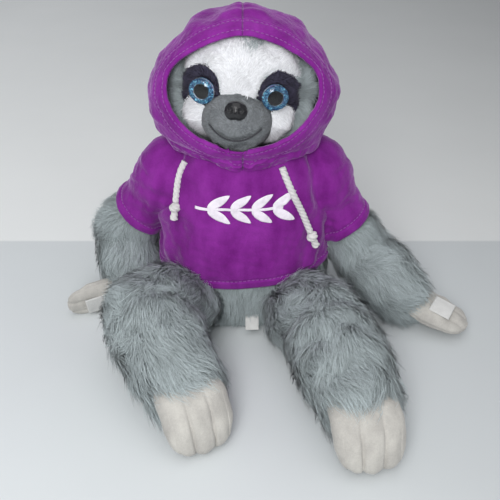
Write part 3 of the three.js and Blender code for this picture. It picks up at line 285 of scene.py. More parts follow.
@dataclass(frozen=True)
class Finish:
    """What every finish shares.

    Attributes:
        name: The material's name.
        slot: The record's material slot that it belongs to; not used.
        colour: Its main colour.
    """

    name: str
    slot: str
    colour: Colour

    @functools.cache
    def material(self) -> bpy.types.Material:
        """Makes the material once, and gives the same one after that."""
        made = bpy.data.materials.new(self.name)
        made.use_nodes = True
        made.diffuse_color = rgba(self.colour)
        graph = Graph(made.node_tree)
        graph.feed(made.node_tree.nodes["Principled BSDF"], self.look(graph))
        return made

    def look(self, graph: Graph) -> dict[str, object]:
        """Gives the shader's inputs by name."""
        raise NotImplementedError


@dataclass(frozen=True)
class Strands(Finish):
    """Pile fibres, darker at the root as painted shade deep in the pile, and lighter at the tip.

    Attributes:
        root: The colour at the backing, darkened as painted shade.
        tuft_spread: How far the brightness varies from tuft to tuft.
        softness: How far the light follows the backing's shape and not each fibre's.
        fibre_spread: How far the brightness varies from fibre to fibre.
        patch_spread: How far it varies over the coat.
        patches: How many of those patches lie in a metre.
    """

    root: Colour = (0.1, 0.1, 0.1)
    tuft_spread: float = 0.13
    softness: float = 0.6
    fibre_spread: float = 0.17
    patch_spread: float = 0.08
    patches: float = 22.0

    def look(self, graph: Graph) -> dict[str, object]:
        """Wires root and tip, with the root's painted shade, tufts and stray fibres into the shader."""
        grown = graph.math("POWER", graph.stored("along"), 1.2)
        tuft = graph.spread(graph.stored("tuft"), 1 - self.tuft_spread, 1 + self.tuft_spread)
        stray = graph.spread(graph.stored("chance"), -self.fibre_spread, self.fibre_spread)
        clouds = graph.noise(graph.place(), self.patches)
        patch = graph.spread(clouds, 1 - self.patch_spread, 1 + self.patch_spread)
        light = graph.times(graph.math("ADD", tuft, stray), patch)
        rise = graph.add(
            "ShaderNodeVectorTransform",
            {0: graph.stored("rise", "Vector")},
            vector_type="NORMAL",
            convert_from="OBJECT",
            convert_to="WORLD",
        ).outputs[0]
        own = graph.add("ShaderNodeNewGeometry").outputs["Normal"]
        soft = graph.total(graph.scaled(rise, self.softness), graph.scaled(own, 1 - self.softness))
        return {
            # From the root's painted shade out to the tip's colour, times random tone.
            "Base Color": graph.scaled(graph.mix(grown, self.root, self.colour), light),
            "Normal": graph.vector("NORMALIZE", soft),
            "Roughness": 0.72,
            "Specular IOR Level": 0.25,
            "Sheen Weight": 0.25,
            "Sheen Roughness": 0.5,
        }


@dataclass(frozen=True)
class Nap(Finish):
    """A short, brushed pile such as velour or velboa.

    Attributes:
        deep: The colour where the pile leans away, painted shade of the light that it catches less.
        brush: The size of the brushed patches, in metres.
        grain: The size of the pile's grain, in metres.
        relief: How deep the grain is, in metres.
        sheen: How strongly the pile catches grazing light.
        sheen_tint: The colour of that light.
    """

    deep: Colour = (0.1, 0.1, 0.1)
    brush: float = 18 * MM
    grain: float = 0.7 * MM
    relief: float = 0.25 * MM
    sheen: float = 0.5
    sheen_tint: Colour = (1.0, 1.0, 1.0)

    def look(self, graph: Graph) -> dict[str, object]:
        """Wires brushed patches, whose darker parts are painted shade, grain and sheen into the shader."""
        place = graph.place()
        upright = graph.add("ShaderNodeMapping", {0: place, 3: (1.0, 1.0, 0.45)}).outputs[0]
        brushed = graph.spread(graph.noise(upright, 1 / self.brush, 6.0), -0.7, 1.7)
        grain = graph.noise(place, 1 / self.grain)
        fleck = graph.noise(place, 0.35 / self.grain)
        leaning = graph.math("ADD", brushed, graph.spread(fleck, -0.2, 0.2))
        share = graph.add("ShaderNodeClamp", {0: leaning}).outputs[0]
        # The brushed patches follow the crushed pile; their darker colour is painted shade where the pile
        # leans away from the light.
        colour = graph.mix(share, self.deep, self.colour)
        height = graph.math("ADD", grain, graph.times(fleck, 1.5))
        return {
            "Base Color": graph.scaled(colour, graph.spread(grain, 0.86, 1.14)),
            "Normal": graph.relief(height, 0.8, self.relief),
            "Roughness": 0.9,
            "Specular IOR Level": 0.06,
            "Sheen Weight": self.sheen,
            "Sheen Roughness": 0.35,
            "Sheen Tint": rgba(self.sheen_tint),
        }


@dataclass(frozen=True)
class Woven(Finish):
    """Yarn, thread or tape with a fine over-and-under weave.

    Attributes:
        pitch: The distance from yarn to yarn, in metres.
        relief: How deep the weave is, in metres.
    """

    pitch: float = 0.8 * MM
    relief: float = 0.2 * MM

    def look(self, graph: Graph) -> dict[str, object]:
        """Wires crossed yarns, darker in the weave's dips as painted shade, and a little soiling into the
        shader.
        """
        place = graph.place()
        x, y, z = graph.add("ShaderNodeSeparateXYZ", {0: place}).outputs
        turns = 2 * math.pi / self.pitch
        warp = graph.math("SINE", graph.times(graph.math("ADD", x, y), turns))
        weft = graph.math("SINE", graph.times(graph.math("SUBTRACT", x, z), turns))
        yarns = graph.spread(graph.times(warp, weft), 0.0, 1.0)
        soil = graph.spread(graph.noise(place, 160.0, 3.0), 0.86, 1.06)
        # Painted shade in the weave's dips, times real soiling.
        shade = graph.times(graph.line(yarns, 0.12, 0.92), soil)
        return {
            "Base Color": graph.scaled(self.colour, shade),
            "Normal": graph.relief(yarns, 0.9, self.relief),
            "Roughness": 0.88,
            "Sheen Weight": 0.2,
        }


@dataclass(frozen=True)
class Moulded(Finish):
    """Hard moulded plastic.

    Attributes:
        roughness: How matt it is.
        coat: How much clear gloss lies over it.
        shine: How strongly the plastic itself mirrors.
        dimples: How deep its slight unevenness is, in metres.
    """

    roughness: float = 0.2
    coat: float = 0.0
    shine: float = 0.5
    dimples: float = 0.02 * MM

    def look(self, graph: Graph) -> dict[str, object]:
        """Wires a slight unevenness of colour, gloss and surface into the shader."""
        cloudy = graph.noise(graph.place(), 260.0, 3.0)
        return {
            "Base Color": graph.scaled(self.colour, graph.spread(cloudy, 0.8, 1.2)),
            "Normal": graph.relief(cloudy, 0.4, self.dimples),
            "Roughness": graph.spread(cloudy, self.roughness * 0.8, self.roughness * 1.3),
            "Specular IOR Level": self.shine,
            "Coat Weight": self.coat,
            "Coat Roughness": 0.05,
        }


@dataclass(frozen=True)
class Glitter(Finish):
    """Foil flakes set in a coloured ring.

    Attributes:
        flake: The size of a flake, in metres.
        bright: The colour of a flake that faces the light.
    """

    flake: float = 0.7 * MM
    bright: Colour = (0.4, 0.8, 1.0)

    def look(self, graph: Graph) -> dict[str, object]:
        """Wires flakes of random tilt, with painted glints of random brightness, into the shader."""
        cells = graph.add("ShaderNodeTexVoronoi", {"Vector": graph.place(), "Scale": 1 / self.flake})
        shade, gloss, tilt = graph.add("ShaderNodeSeparateColor", {0: cells.outputs["Color"]}).outputs
        return {
            # Painted glints: a few flakes get the bright colour of a flake that faces the light.
            "Base Color": graph.mix(graph.math("POWER", shade, 4.0), self.colour, self.bright),
            "Normal": graph.relief(tilt, 1.0, self.flake / 3),
            "Roughness": graph.spread(gloss, 0.15, 0.5),
            "Metallic": 0.15,
            "Specular IOR Level": 0.3,
        }


@dataclass(frozen=True)
class Clear(Finish):
    """Clear moulded plastic.

    Attributes:
        refraction: How strongly it bends light.
        waves: How deep the faint waves on it are, in metres.
    """

    refraction: float = 1.38
    waves: float = 0.02 * MM

    def look(self, graph: Graph) -> dict[str, object]:
        """Sets a polished, see-through shader with faint waves."""
        return {
            "Base Color": rgba(self.colour),
            "Normal": graph.relief(graph.noise(graph.place(), 120.0, 1.0), 0.1, self.waves),
            "Roughness": 0.03,
            "IOR": self.refraction,
            "Specular IOR Level": 0.35,
            "Transmission Weight": 1.0,
        }


# Each backing is a little darker than the tips of its fibres: painted shade in the gaps between the fibres.
GREY_FUR = Strands("grey_fibre", "grey_fur", (0.46, 0.525, 0.535), root=(0.35, 0.405, 0.415), softness=0.8)
GREY_BACKING = Nap("grey_backing", "grey_fur", (0.37, 0.425, 0.435), deep=(0.31, 0.355, 0.36), sheen=0.1)
WHITE_PILE = Strands(
    "white_pile", "white_plush", (0.9, 0.91, 0.93), root=(0.82, 0.83, 0.86), tuft_spread=0.03, softness=0.95
)
WHITE_BACKING = Nap("white_backing", "white_plush", (0.86, 0.87, 0.9), deep=(0.78, 0.79, 0.83), sheen=0.2)
DARK_PILE = Strands(
    "dark_pile", "dark_plush", (0.045, 0.04, 0.075), root=(0.015, 0.014, 0.025), tuft_spread=0.3, softness=0.7
)
DARK_BACKING = Nap("dark_backing", "dark_plush", (0.02, 0.018, 0.03), deep=(0.01, 0.01, 0.015), sheen=0.2)
MUZZLE_PILE = Strands(
    "muzzle_pile",
    "muzzle_plush",
    (0.25, 0.27, 0.285),
    root=(0.17, 0.18, 0.19),
    tuft_spread=0.08,
    softness=0.9,
)
MUZZLE_NAP = Nap(
    "muzzle_nap", "muzzle_plush", (0.19, 0.205, 0.215), deep=(0.12, 0.13, 0.14), brush=12 * MM, sheen=0.35
)
CREAM_VELBOA = Nap(
    "brushed_velboa",
    "cream_velboa",
    (0.54, 0.525, 0.485),
    deep=(0.4, 0.385, 0.36),
    brush=14 * MM,
    grain=0.9 * MM,
    sheen=0.3,
)
PURPLE_VELOUR = Nap(
    "crushed_velour",
    "purple_velour",
    (0.27, 0.032, 0.32),
    deep=(0.16, 0.013, 0.19),
    brush=17 * MM,
    grain=0.6 * MM,
    sheen=0.45,
    sheen_tint=(0.86, 0.66, 0.98),
)
PURPLE_THREAD = Woven("purple_thread", "purple_velour", (0.36, 0.09, 0.44), pitch=0.4 * MM)
COTTON = Woven("braided_cotton", "white_cotton", (0.86, 0.84, 0.83), pitch=1.1 * MM, relief=0.3 * MM)
PRINT_FILM = Moulded("printed_film", "white_print", (0.84, 0.78, 0.86), roughness=0.55, dimples=0.1 * MM)
TAPE = Woven("woven_tape", "white_tape", (0.8, 0.8, 0.78), pitch=0.7 * MM)
BLACK_PLASTIC = Moulded("black_gloss", "black_plastic", (0.008, 0.008, 0.01), coat=0.5, shine=0.3)
PUPIL_BLACK = Moulded("pupil_black", "black_plastic", (0.002, 0.002, 0.003), roughness=0.9, shine=0.0)
BLUE_GLITTER = Glitter("glitter_foil", "blue_glitter", (0.006, 0.07, 0.2), bright=(0.25, 0.75, 1.0))
CLEAR_PLASTIC = Clear("clear_dome", "clear_plastic", (1.0, 1.0, 1.0))
WHITE_PLASTIC = Moulded("matt_washer", "white_plastic", (0.75, 0.75, 0.73), roughness=0.45)
DARK_THREAD = Woven("dark_thread", "dark_plush", (0.035, 0.035, 0.045), pitch=0.5 * MM)


@dataclass
class Skin:
    """Rows of points that a surface passes through.

    Attributes:
        rows: The points, as rows by columns by 3.
        closed: Whether each row runs on into its own start.
        capped: Whether the first and last rows are closed with a pole.
        inside: A point on the inner side, which tells the faces' way out.
    """

    rows: Array
    closed: bool = True
    capped: bool = True
    inside: Array | None = None

    def middle(self) -> Array:
        """Gives the inner point, or else the middle of the points."""
        return self.rows.reshape(-1, 3).mean(0) if self.inside is None else self.inside

    def vertices(self) -> Array:
        """Gives the points as one list, with any poles last."""
        flat = self.rows.reshape(-1, 3)
        if not self.capped:
            return flat
        return np.vstack([flat, self.rows[0].mean(0), self.rows[-1].mean(0)])

    def faces(self) -> list[tuple[int, ...]]:
        """Gives the faces, turned outwards."""
        count, width = self.rows.shape[:2]
        strips = width if self.closed else width - 1
        i, j = np.meshgrid(np.arange(count - 1), np.arange(strips), indexing="ij")
        k = (j + 1) % width
        quads = np.stack([i * width + j, i * width + k, (i + 1) * width + k, (i + 1) * width + j], -1)
        faces = [tuple(q) for q in quads.reshape(-1, 4).tolist()]
        if self.capped:
            first, last = count * width, count * width + 1
            top = (count - 1) * width
            for a in range(width):
                b = (a + 1) % width
                faces += [(first, b, a), (last, top + a, top + b)]
        return faces if self.faces_out(quads.reshape(-1, 4)) else [face[::-1] for face in faces]

    def faces_out(self, quads: Array) -> bool:
        """Tells whether the quads face away from the inner point."""
        corners = self.rows.reshape(-1, 3)[quads]
        normals = np.cross(corners[:, 2] - corners[:, 0], corners[:, 3] - corners[:, 1])
        return float((normals * (corners.mean(1) - self.middle())).sum()) > 0

    def normals(self) -> Array:
        """Gives the outward normal at each point of the rows."""
        along = np.gradient(self.rows, axis=0)
        if self.closed:
            across = np.roll(self.rows, -1, axis=1) - np.roll(self.rows, 1, axis=1)
        else:
            across = np.gradient(self.rows, axis=1)
        normals = unit(np.cross(across, along))
        return normals if float((normals * (self.rows - self.middle())).sum()) > 0 else -normals

    def pushed(self, distance: Array) -> "Skin":
        """Moves each point along its normal."""
        return replace(self, rows=self.rows + self.normals() * distance[..., None])

    def rippled(self, size: float, seed: int, depth: float) -> "Skin":
        """Gives stuffed cloth its slow swells."""
        return self.pushed(Ripple(size, seed).at(self.rows) * depth)

    def rested(self) -> "Skin":
        """Flattens what would lie under the table."""
        rows = self.rows.copy()
        rows[..., 2] = np.maximum(rows[..., 2], TABLE_GAP)
        return replace(self, rows=rows)


def in_scene(name: str, data: bpy.types.ID) -> Piece:
    """Puts data in the scene as an object."""
    made = bpy.data.objects.new(name, data)
    bpy.context.scene.collection.objects.link(made)
    return made


def make_piece(name: str, vertices: Array, faces: Sequence[Sequence[int]], *finishes: Finish) -> Piece:
    """Makes a smooth-shaded mesh object.

    Args:
        name: The piece's name.
        vertices: Its points, in metres.
        faces: Its faces, as point numbers.
        *finishes: Its materials.

    Returns:
        The object, in the scene.
    """
    mesh = bpy.data.meshes.new(name)
    mesh.from_pydata(np.asarray(vertices).tolist(), [], [list(face) for face in faces])
    mesh.shade_smooth()
    for finish in finishes:
        mesh.materials.append(finish.material())
    return in_scene(name, mesh)


def skin_piece(name: str, skin: Skin, finish: Finish) -> Piece:
    """Makes an object of a skin."""
    return make_piece(name, skin.vertices(), skin.faces(), finish)


def creased(piece: Piece, turn: float = 40.0) -> Piece:
    """Keeps the edges sharp where faces meet at more than some degrees."""
    piece.data.set_sharp_from_angle(angle=math.radians(turn))
    return piece


def settle(piece: Piece) -> Piece:
    """Applies a piece's modifiers and gives the plain mesh that takes its place."""
    graph = bpy.context.evaluated_depsgraph_get()
    mesh = bpy.data.meshes.new_from_object(piece.evaluated_get(graph), depsgraph=graph)
    piece.modifiers.clear()
    old, piece.data = piece.data, mesh
    name = old.name
    bpy.data.meshes.remove(old)
    mesh.name = name
    mesh.shade_smooth()
    return piece


def thicken(piece: Piece, thickness: float) -> Piece:
    """Gives a cloth its thickness, inwards from its outer face."""
    wall = piece.modifiers.new("wall", "SOLIDIFY")
    wall.thickness = thickness
    wall.offset = -1.0
    wall.use_even_offset = False
    return settle(piece)


def finish_piece(piece: Piece, finish: Finish, body: str, *nodes: str) -> Piece:
    """Ties a finished piece to its body and hides the solids that it stands for."""
    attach(piece, body)
    if nodes:
        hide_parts(*nodes)
    LOG.info("%s: %d faces on %s", piece.name, len(piece.data.polygons), body)
    return piece


def limb_skin(
    start: Array,
    end: Array,
    upward: Array,
    table: Sequence[Sequence[float]],
    round_tip: bool = True,
    sides: int = 48,
    steps: int = 30,
) -> Skin:
    """Lofts a stuffed limb that swells and tapers along a straight line from its round root.

    Args:
        start: Where the limb starts.
        end: Where the limb ends.
        upward: The way of its height.
        table: Rows of place share, half width and half height, in metres.
        round_tip: Whether its tip is round as well.
        sides: Points round a row.
        steps: Rows along its straight part.

    Returns:
        Its closed skin.
    """
    length = float(np.linalg.norm(end - start))
    forward = unit(end - start)
    across = unit(np.cross(upward, forward))
    lift = unit(np.cross(forward, across))
    places = np.linspace(table[0][0], table[-1][0], steps)
    wide, high = (smooth_rows(table, places, column) for column in (1, 2))
    bends = np.radians(np.linspace(6, 84, 11))
    places = places * length
    runs = np.concatenate([places[0] - wide[0] * np.cos(bends), places])
    shrinks = np.concatenate([np.sin(bends), np.ones(steps)])
    wide, high = (np.concatenate([np.full(len(bends), row[0]), row]) for row in (wide, high))
    if round_tip:
        runs = np.concatenate([runs, runs[-1] + wide[-1] * np.cos(bends[::-1])])
        shrinks = np.concatenate([shrinks, np.sin(bends[::-1])])
        wide, high = (np.concatenate([row, np.full(len(bends), row[-1])]) for row in (wide, high))
    turns = around(sides)
    rows = (
        start
        + runs[:, None, None] * forward
        + (wide * shrinks)[:, None, None] * np.cos(turns)[None, :, None] * across
        + (high * shrinks)[:, None, None] * np.sin(turns)[None, :, None] * lift
    )
    return Skin(rows)


def aim(side: int, out: float, up: float) -> Array:
    """The direction of a limb, turned out from straight ahead and raised from level, in degrees."""
    out, up = math.radians(out), math.radians(up)
    return np.array([side * math.sin(out) * math.cos(up), -math.cos(out) * math.cos(up), math.sin(up)])


@dataclass(frozen=True)
class Pile:
    """How the fibres of a plush are grown.

    Attributes:
        fibre: The fibres' finish.
        backing: The finish of the cloth that they grow from.
        density: Fibres in a square metre.
        length: The length of a fibre, in metres.
        lift: How far a fibre stands up, from 0 to 1.
        clump: How far the tips of a tuft come together, from 0 to 1.
        seed: The seed of all that is random in it.
        width: The width of a fibre at its root, in metres.
        tuft_gap: The distance between tufts, in metres.
        curl: How far a fibre wanders, as a share of its length.
        curl_size: The size of the wander, in metres.
    """

    fibre: Strands
    backing: Nap
    density: float
    length: float
    lift: float
    clump: float
    seed: int
    width: float = 0.6 * MM
    tuft_gap: float = 2.6 * MM
    curl: float = 0.3
    curl_size: float = 5 * MM

    def values(self) -> dict[str, object]:
        """Gives the tree's inputs by name."""
        return {
            "Density": self.density,
            "Length": self.length,
            "Width": self.width,
            "Lift": self.lift,
            "Tufts": 1 / self.tuft_gap**2,
            "Clump": self.clump,
            "Curl": self.curl,
            "Curl Scale": 1 / self.curl_size,
            "Seed": self.seed,
            "Fibre": self.fibre.material(),
            "Backing": self.backing.material(),
        }


GREY_COAT = Pile(
    GREY_FUR,
    GREY_BACKING,
    density=1.38e6,
    length=10.5 * MM,
    lift=0.78,
    clump=0.45,
    seed=1,
    width=0.52 * MM,
    tuft_gap=3.2 * MM,
    curl=0.4,
)
RUFF = Pile(
    GREY_FUR,
    GREY_BACKING,
    density=1.8e6,
    length=9 * MM,
    lift=0.6,
    clump=0.25,
    seed=2,
    width=0.45 * MM,
    curl=0.45,
)
WHITE_COAT = Pile(WHITE_PILE, WHITE_BACKING, density=1.8e6, length=2.6 * MM, lift=0.45, clump=0.1, seed=3)
DARK_COAT = Pile(DARK_PILE, DARK_BACKING, density=2.2e6, length=2.6 * MM, lift=0.5, clump=0.2, seed=4)
MUZZLE_COAT = Pile(
    MUZZLE_PILE,
    MUZZLE_NAP,
    density=1.7e6,
    length=1.7 * MM,
    lift=0.7,
    clump=0.3,
    seed=5,
    tuft_gap=1.9 * MM,
    curl_size=4 * MM,
)


def new_tree(name: str, inputs: dict[str, str]) -> bpy.types.NodeTree:
    """Starts a Geometry Nodes tree with a geometry in and out, and other inputs by name and kind."""
    tree = bpy.data.node_groups.new(name, "GeometryNodeTree")
    for key, kind in {"Geometry": "Geometry", **inputs}.items():
        tree.interface.new_socket(key, in_out="INPUT", socket_type="NodeSocket" + kind)
    tree.interface.new_socket("Geometry", in_out="OUTPUT", socket_type="NodeSocketGeometry")
    return tree


def apply_tree(piece: Piece, tree: bpy.types.NodeTree, values: dict[str, object]) -> Piece:
    """Runs a Geometry Nodes tree on a piece, with its inputs by name, and settles the outcome."""
    modifier = piece.modifiers.new(tree.name, "NODES")
    modifier.node_group = tree
    for item in tree.interface.items_tree:
        if item.item_type == "SOCKET" and item.in_out == "INPUT" and item.name in values:
            modifier[item.identifier] = values[item.name]
    return settle(piece)


class PileTree(Graph):
    """The Geometry Nodes tree that grows a pile on any skin.

    Each part of it that draws at random adds its own number to the pile's seed.
    """

    NAME = "grow_pile"
    FLOATS = ("Density", "Length", "Width", "Lift", "Tufts", "Clump", "Curl", "Curl Scale")
    OTHERS = {"Seed": "Int", "Fibre": "Material", "Backing": "Material"}
    FIBRE_STEPS = 3
    ROOT_SEED, TUFT_SEED, SHADE_SEED, CHANCE_SEED, TWIST_SEED, STRAY_SEED = 0, 7, 11, 13, 17, 19
    TWIST = 1.2
    SPENT = ("cover", "grow", "comb", "across", "twist", "stray", "knot", "tuft_place")

    def __init__(self) -> None:
        """Builds the tree."""
        super().__init__(new_tree(self.NAME, {**dict.fromkeys(self.FLOATS, "Float"), **self.OTHERS}))
        self.given = self.add("NodeGroupInput").outputs
        joined = self.add("GeometryNodeJoinGeometry")
        for part in (self.painted(self.given["Geometry"], "Backing"), self.grow()):
            self.tree.links.new(part, joined.inputs[0])
        self.add("NodeGroupOutput", {0: joined.outputs[0]})

    @classmethod
    def shared(cls) -> bpy.types.NodeTree:
        """Gives the one tree, built at its first use."""
        return bpy.data.node_groups.get(cls.NAME) or cls().tree

    def painted(self, geometry: Socket, material: str) -> Socket:
        """Gives a geometry one of the tree's materials."""
        inputs = {"Geometry": geometry, "Material": self.given[material]}
        return self.add("GeometryNodeSetMaterial", inputs).outputs[0]

    def read(self, name: str, kind: str = "FLOAT") -> Socket:
        """Reads a stored value."""
        return self.add("GeometryNodeInputNamedAttribute", {"Name": name}, data_type=kind).outputs[0]

    def read_vector(self, name: str) -> Socket:
        """Reads a stored vector."""
        return self.read(name, "FLOAT_VECTOR")

    def keep(self, geometry: Socket, name: str, value: object, kind: str = "FLOAT") -> Socket:
        """Stores a value on the points of a geometry."""
        inputs = {"Geometry": geometry, "Name": name, "Value": value}
        node = self.add("GeometryNodeStoreNamedAttribute", inputs, data_type=kind, domain="POINT")
        return node.outputs[0]

    def seed(self, shift: int) -> Socket:
        """Gives the pile's seed, shifted by a part's own number."""
        return self.math("ADD", self.given["Seed"], float(shift))

    def random(self, low: float, high: float, shift: int) -> Socket:
        """Gives each point a random number."""
        inputs = {2: low, 3: high, "Seed": self.seed(shift)}
        return self.add("FunctionNodeRandomValue", inputs, data_type="FLOAT").outputs[1]

    def random_way(self, shift: int) -> Socket:
        """Gives each point a random vector."""
        inputs = {0: (-1, -1, -1), 1: (1, 1, 1), "Seed": self.seed(shift)}
        return self.add("FunctionNodeRandomValue", inputs, data_type="FLOAT_VECTOR").outputs[0]

    def sown(self, density: object, shift: int) -> Node:
        """Sows points on the skin, thinned where its cover is low."""
        covered = self.times(density, self.read("cover"))
        inputs = {"Mesh": self.given["Geometry"], "Density": covered, "Seed": self.seed(shift)}
        return self.add("GeometryNodeDistributePointsOnFaces", inputs)

    def sample(self, source: Socket, value: Socket, kind: str, index: Socket) -> Socket:
        """Reads a value of another geometry's point by its number."""
        inputs = {"Geometry": source, "Value": value, "Index": index}
        return self.add("GeometryNodeSampleIndex", inputs, data_type=kind, domain="POINT").outputs[0]

    def fibre(self) -> Socket:
        """Makes the one ribbon that every fibre copies, with its places across and along it."""
        sizes = {"Size X": 1.0, "Size Y": 1.0, "Vertices X": 2, "Vertices Y": self.FIBRE_STEPS}
        grid = self.add("GeometryNodeMeshGrid", sizes).outputs[0]
        position = self.add("GeometryNodeInputPosition").outputs[0]
        place = self.add("ShaderNodeSeparateXYZ", {0: position})
        crossed = self.keep(grid, "across", place.outputs[0])
        run = self.keep(crossed, "along", self.math("ADD", place.outputs[1], 0.5))
        inputs = {"Geometry": run, "Position": self.scaled(position, 0.0)}
        return self.add("GeometryNodeSetPosition", inputs).outputs[0]

    def grow(self) -> Socket:
        """Sows, copies and bends the fibres."""
        position = self.add("GeometryNodeInputPosition").outputs[0]
        roots = self.sown(self.given["Density"], self.ROOT_SEED)
        tufts = self.sown(self.given["Tufts"], self.TUFT_SEED).outputs["Points"]
        nearest = self.add("GeometryNodeSampleNearest", {"Geometry": tufts}, domain="POINT").outputs[0]
        middle = self.sample(tufts, position, "FLOAT_VECTOR", nearest)
        shade = self.sample(tufts, self.random(0.0, 1.0, self.SHADE_SEED), "FLOAT", nearest)
        points = roots.outputs["Points"]
        vectors = {
            "rise": roots.outputs["Normal"],
            "knot": self.vector("SUBTRACT", middle, position),
            "tuft_place": middle,
            "stray": self.random_way(self.STRAY_SEED),
        }
        numbers = {
            "tuft": shade,
            "chance": self.random(0.0, 1.0, self.CHANCE_SEED),
            "twist": self.random(-self.TWIST, self.TWIST, self.TWIST_SEED),
        }
        for name, value in vectors.items():
            points = self.keep(points, name, value, "FLOAT_VECTOR")
        for name, value in numbers.items():
            points = self.keep(points, name, value)
        copies = self.add("GeometryNodeInstanceOnPoints", {"Points": points, "Instance": self.fibre()})
        real = self.add("GeometryNodeRealizeInstances", {"Geometry": copies.outputs[0]}).outputs[0]
        bent = self.add("GeometryNodeSetPosition", {"Geometry": real, "Offset": self.bend()}).outputs[0]
        return self.painted(bent, "Fibre")

    def bend(self) -> Socket:
        """Works out where each point of a ribbon lies from its root."""
        v, u = self.read("along"), self.read("across")
        rise, comb = self.read_vector("rise"), self.read_vector("comb")
        length = self.times(
            self.given["Length"],
            self.read("grow"),
            self.line(self.read("chance"), 0.5, 0.7),
            self.line(self.read("tuft"), 0.5, 0.75),
        )
        up = self.times(self.given["Lift"], self.times(v, self.math("SUBTRACT", 1.5, v)))
        out = self.times(v, self.line(v, 0.6, 0.4))
        stem = self.scaled(self.total(self.scaled(rise, up), self.scaled(comb, out)), length)
        share = self.times(self.given["Clump"], self.math("POWER", v, 1.4))
        gather = self.scaled(self.read_vector("knot"), share)
        place = self.total(self.read_vector("tuft_place"), self.scaled(comb, self.times(v, length)))
        waves = {"Vector": place, "Scale": self.given["Curl Scale"], "Detail": 2.0}
        wander = self.add("ShaderNodeTexNoise", waves).outputs["Color"]
        sway = self.vector("SUBTRACT", wander, (0.5, 0.5, 0.5))
        reach = self.times(self.times(self.given["Curl"], 2.0), self.math("POWER", v, 1.3))
        swayed = self.scaled(sway, self.times(reach, length))
        strayed = self.scaled(self.read_vector("stray"), self.times(v, 0.3, length))
        flat = self.vector("NORMALIZE", self.vector("CROSS_PRODUCT", rise, comb))
        face = self.vector("NORMALIZE", self.total(flat, self.scaled(rise, self.read("twist"))))
        taper = self.math("SUBTRACT", 1.0, self.times(self.math("POWER", v, 1.6), 0.82))
        half = self.times(u, self.given["Width"], taper)
        return self.total(stem, gather, swayed, strayed, self.scaled(face, half))


def store(piece: Piece, name: str, values: Array) -> None:
    """Stores a number or a vector at each point of a piece."""
    kind, key = ("FLOAT_VECTOR", "vector") if values.ndim == 2 else ("FLOAT", "value")
    piece.data.attributes.new(name, kind, "POINT").data.foreach_set(key, values.ravel())


def plush(
    name: str,
    skin: Skin,
    pile: Pile,
    comb: Array,
    cover: Array,
    grow: Array | float = 1.0,
    kept: Array | None = None,
) -> Piece:
    """Makes a plush piece: its backing with the fibres that grow from it.

    Args:
        name: The piece's name.
        skin: The backing's skin.
        pile: How its fibres are grown.
        comb: The way that they are combed, at each point of the skin's rows.
        cover: Where they grow, from 0 to 1, at each point.
        grow: Their length as a share of the pile's, at each point.
        kept: Which points the piece keeps, if it is only part of the skin.

    Returns:
        One plain mesh object.
    """
    vertices, faces = skin.vertices(), skin.faces()
    used = np.arange(len(vertices))
    if kept is not None:
        flags = kept.ravel()
        faces = [face for face in faces if flags[list(face)].all()]
        used = np.unique(np.array(faces))
        faces = np.searchsorted(used, np.array(faces)).tolist()
    piece = make_piece(name, vertices[used], faces, pile.backing)
    normals = skin.normals()
    laid = unit(comb - (comb * normals).sum(-1, keepdims=True) * normals)
    shape = skin.rows.shape[:2]
    fields = {"cover": np.broadcast_to(cover, shape), "grow": np.broadcast_to(grow, shape), "comb": laid}
    for key, field in fields.items():
        flat = np.asarray(field, np.float32).reshape(-1, *field.shape[2:])
        if skin.capped:
            flat = np.concatenate([flat, flat[:1], flat[-1:]])
        store(piece, key, flat[used])
    apply_tree(piece, PileTree.shared(), pile.values())
    mesh = piece.data
    for spent in PileTree.SPENT:
        mesh.attributes.remove(mesh.attributes[spent])
    while None in mesh.materials[:]:
        mesh.materials.pop(index=mesh.materials[:].index(None))
    points = np.empty(len(mesh.vertices) * 3, np.float32)
    mesh.vertices.foreach_get("co", points)
    points[2::3] = np.maximum(points[2::3], TABLE_GAP)
    mesh.vertices.foreach_set("co", points)
    return piece


@dataclass(frozen=True)
class Ball:
    """A ball that hides what lies inside it."""

    middle: Array
    radius: float

    def depth(self, points: Array) -> Array:
        """How far points lie inside the ball."""
        return self.radius - np.linalg.norm(points - self.middle, axis=-1)


def open_share(points: Array, forms: Sequence, edge: float = 3 * MM) -> Array:
    """Gives 1 where points are clear of every form, and 0 where they are hidden in one.

    Args:
        points: The points to test.
        forms: Forms with a depth method.
        edge: How deep a point is hidden.

    Returns:
        One share for each point.
    """
    share = np.ones(points.shape[:-1])
    for form in forms:
        share *= np.clip(1 - form.depth(points) / edge, 0, 1)
    return share


def above_table(points: Array) -> Array:
    """Gives 0 where points lie on the table, and 1 above it."""
    return ramp(points[..., 2] - 1 * MM, 3 * MM)


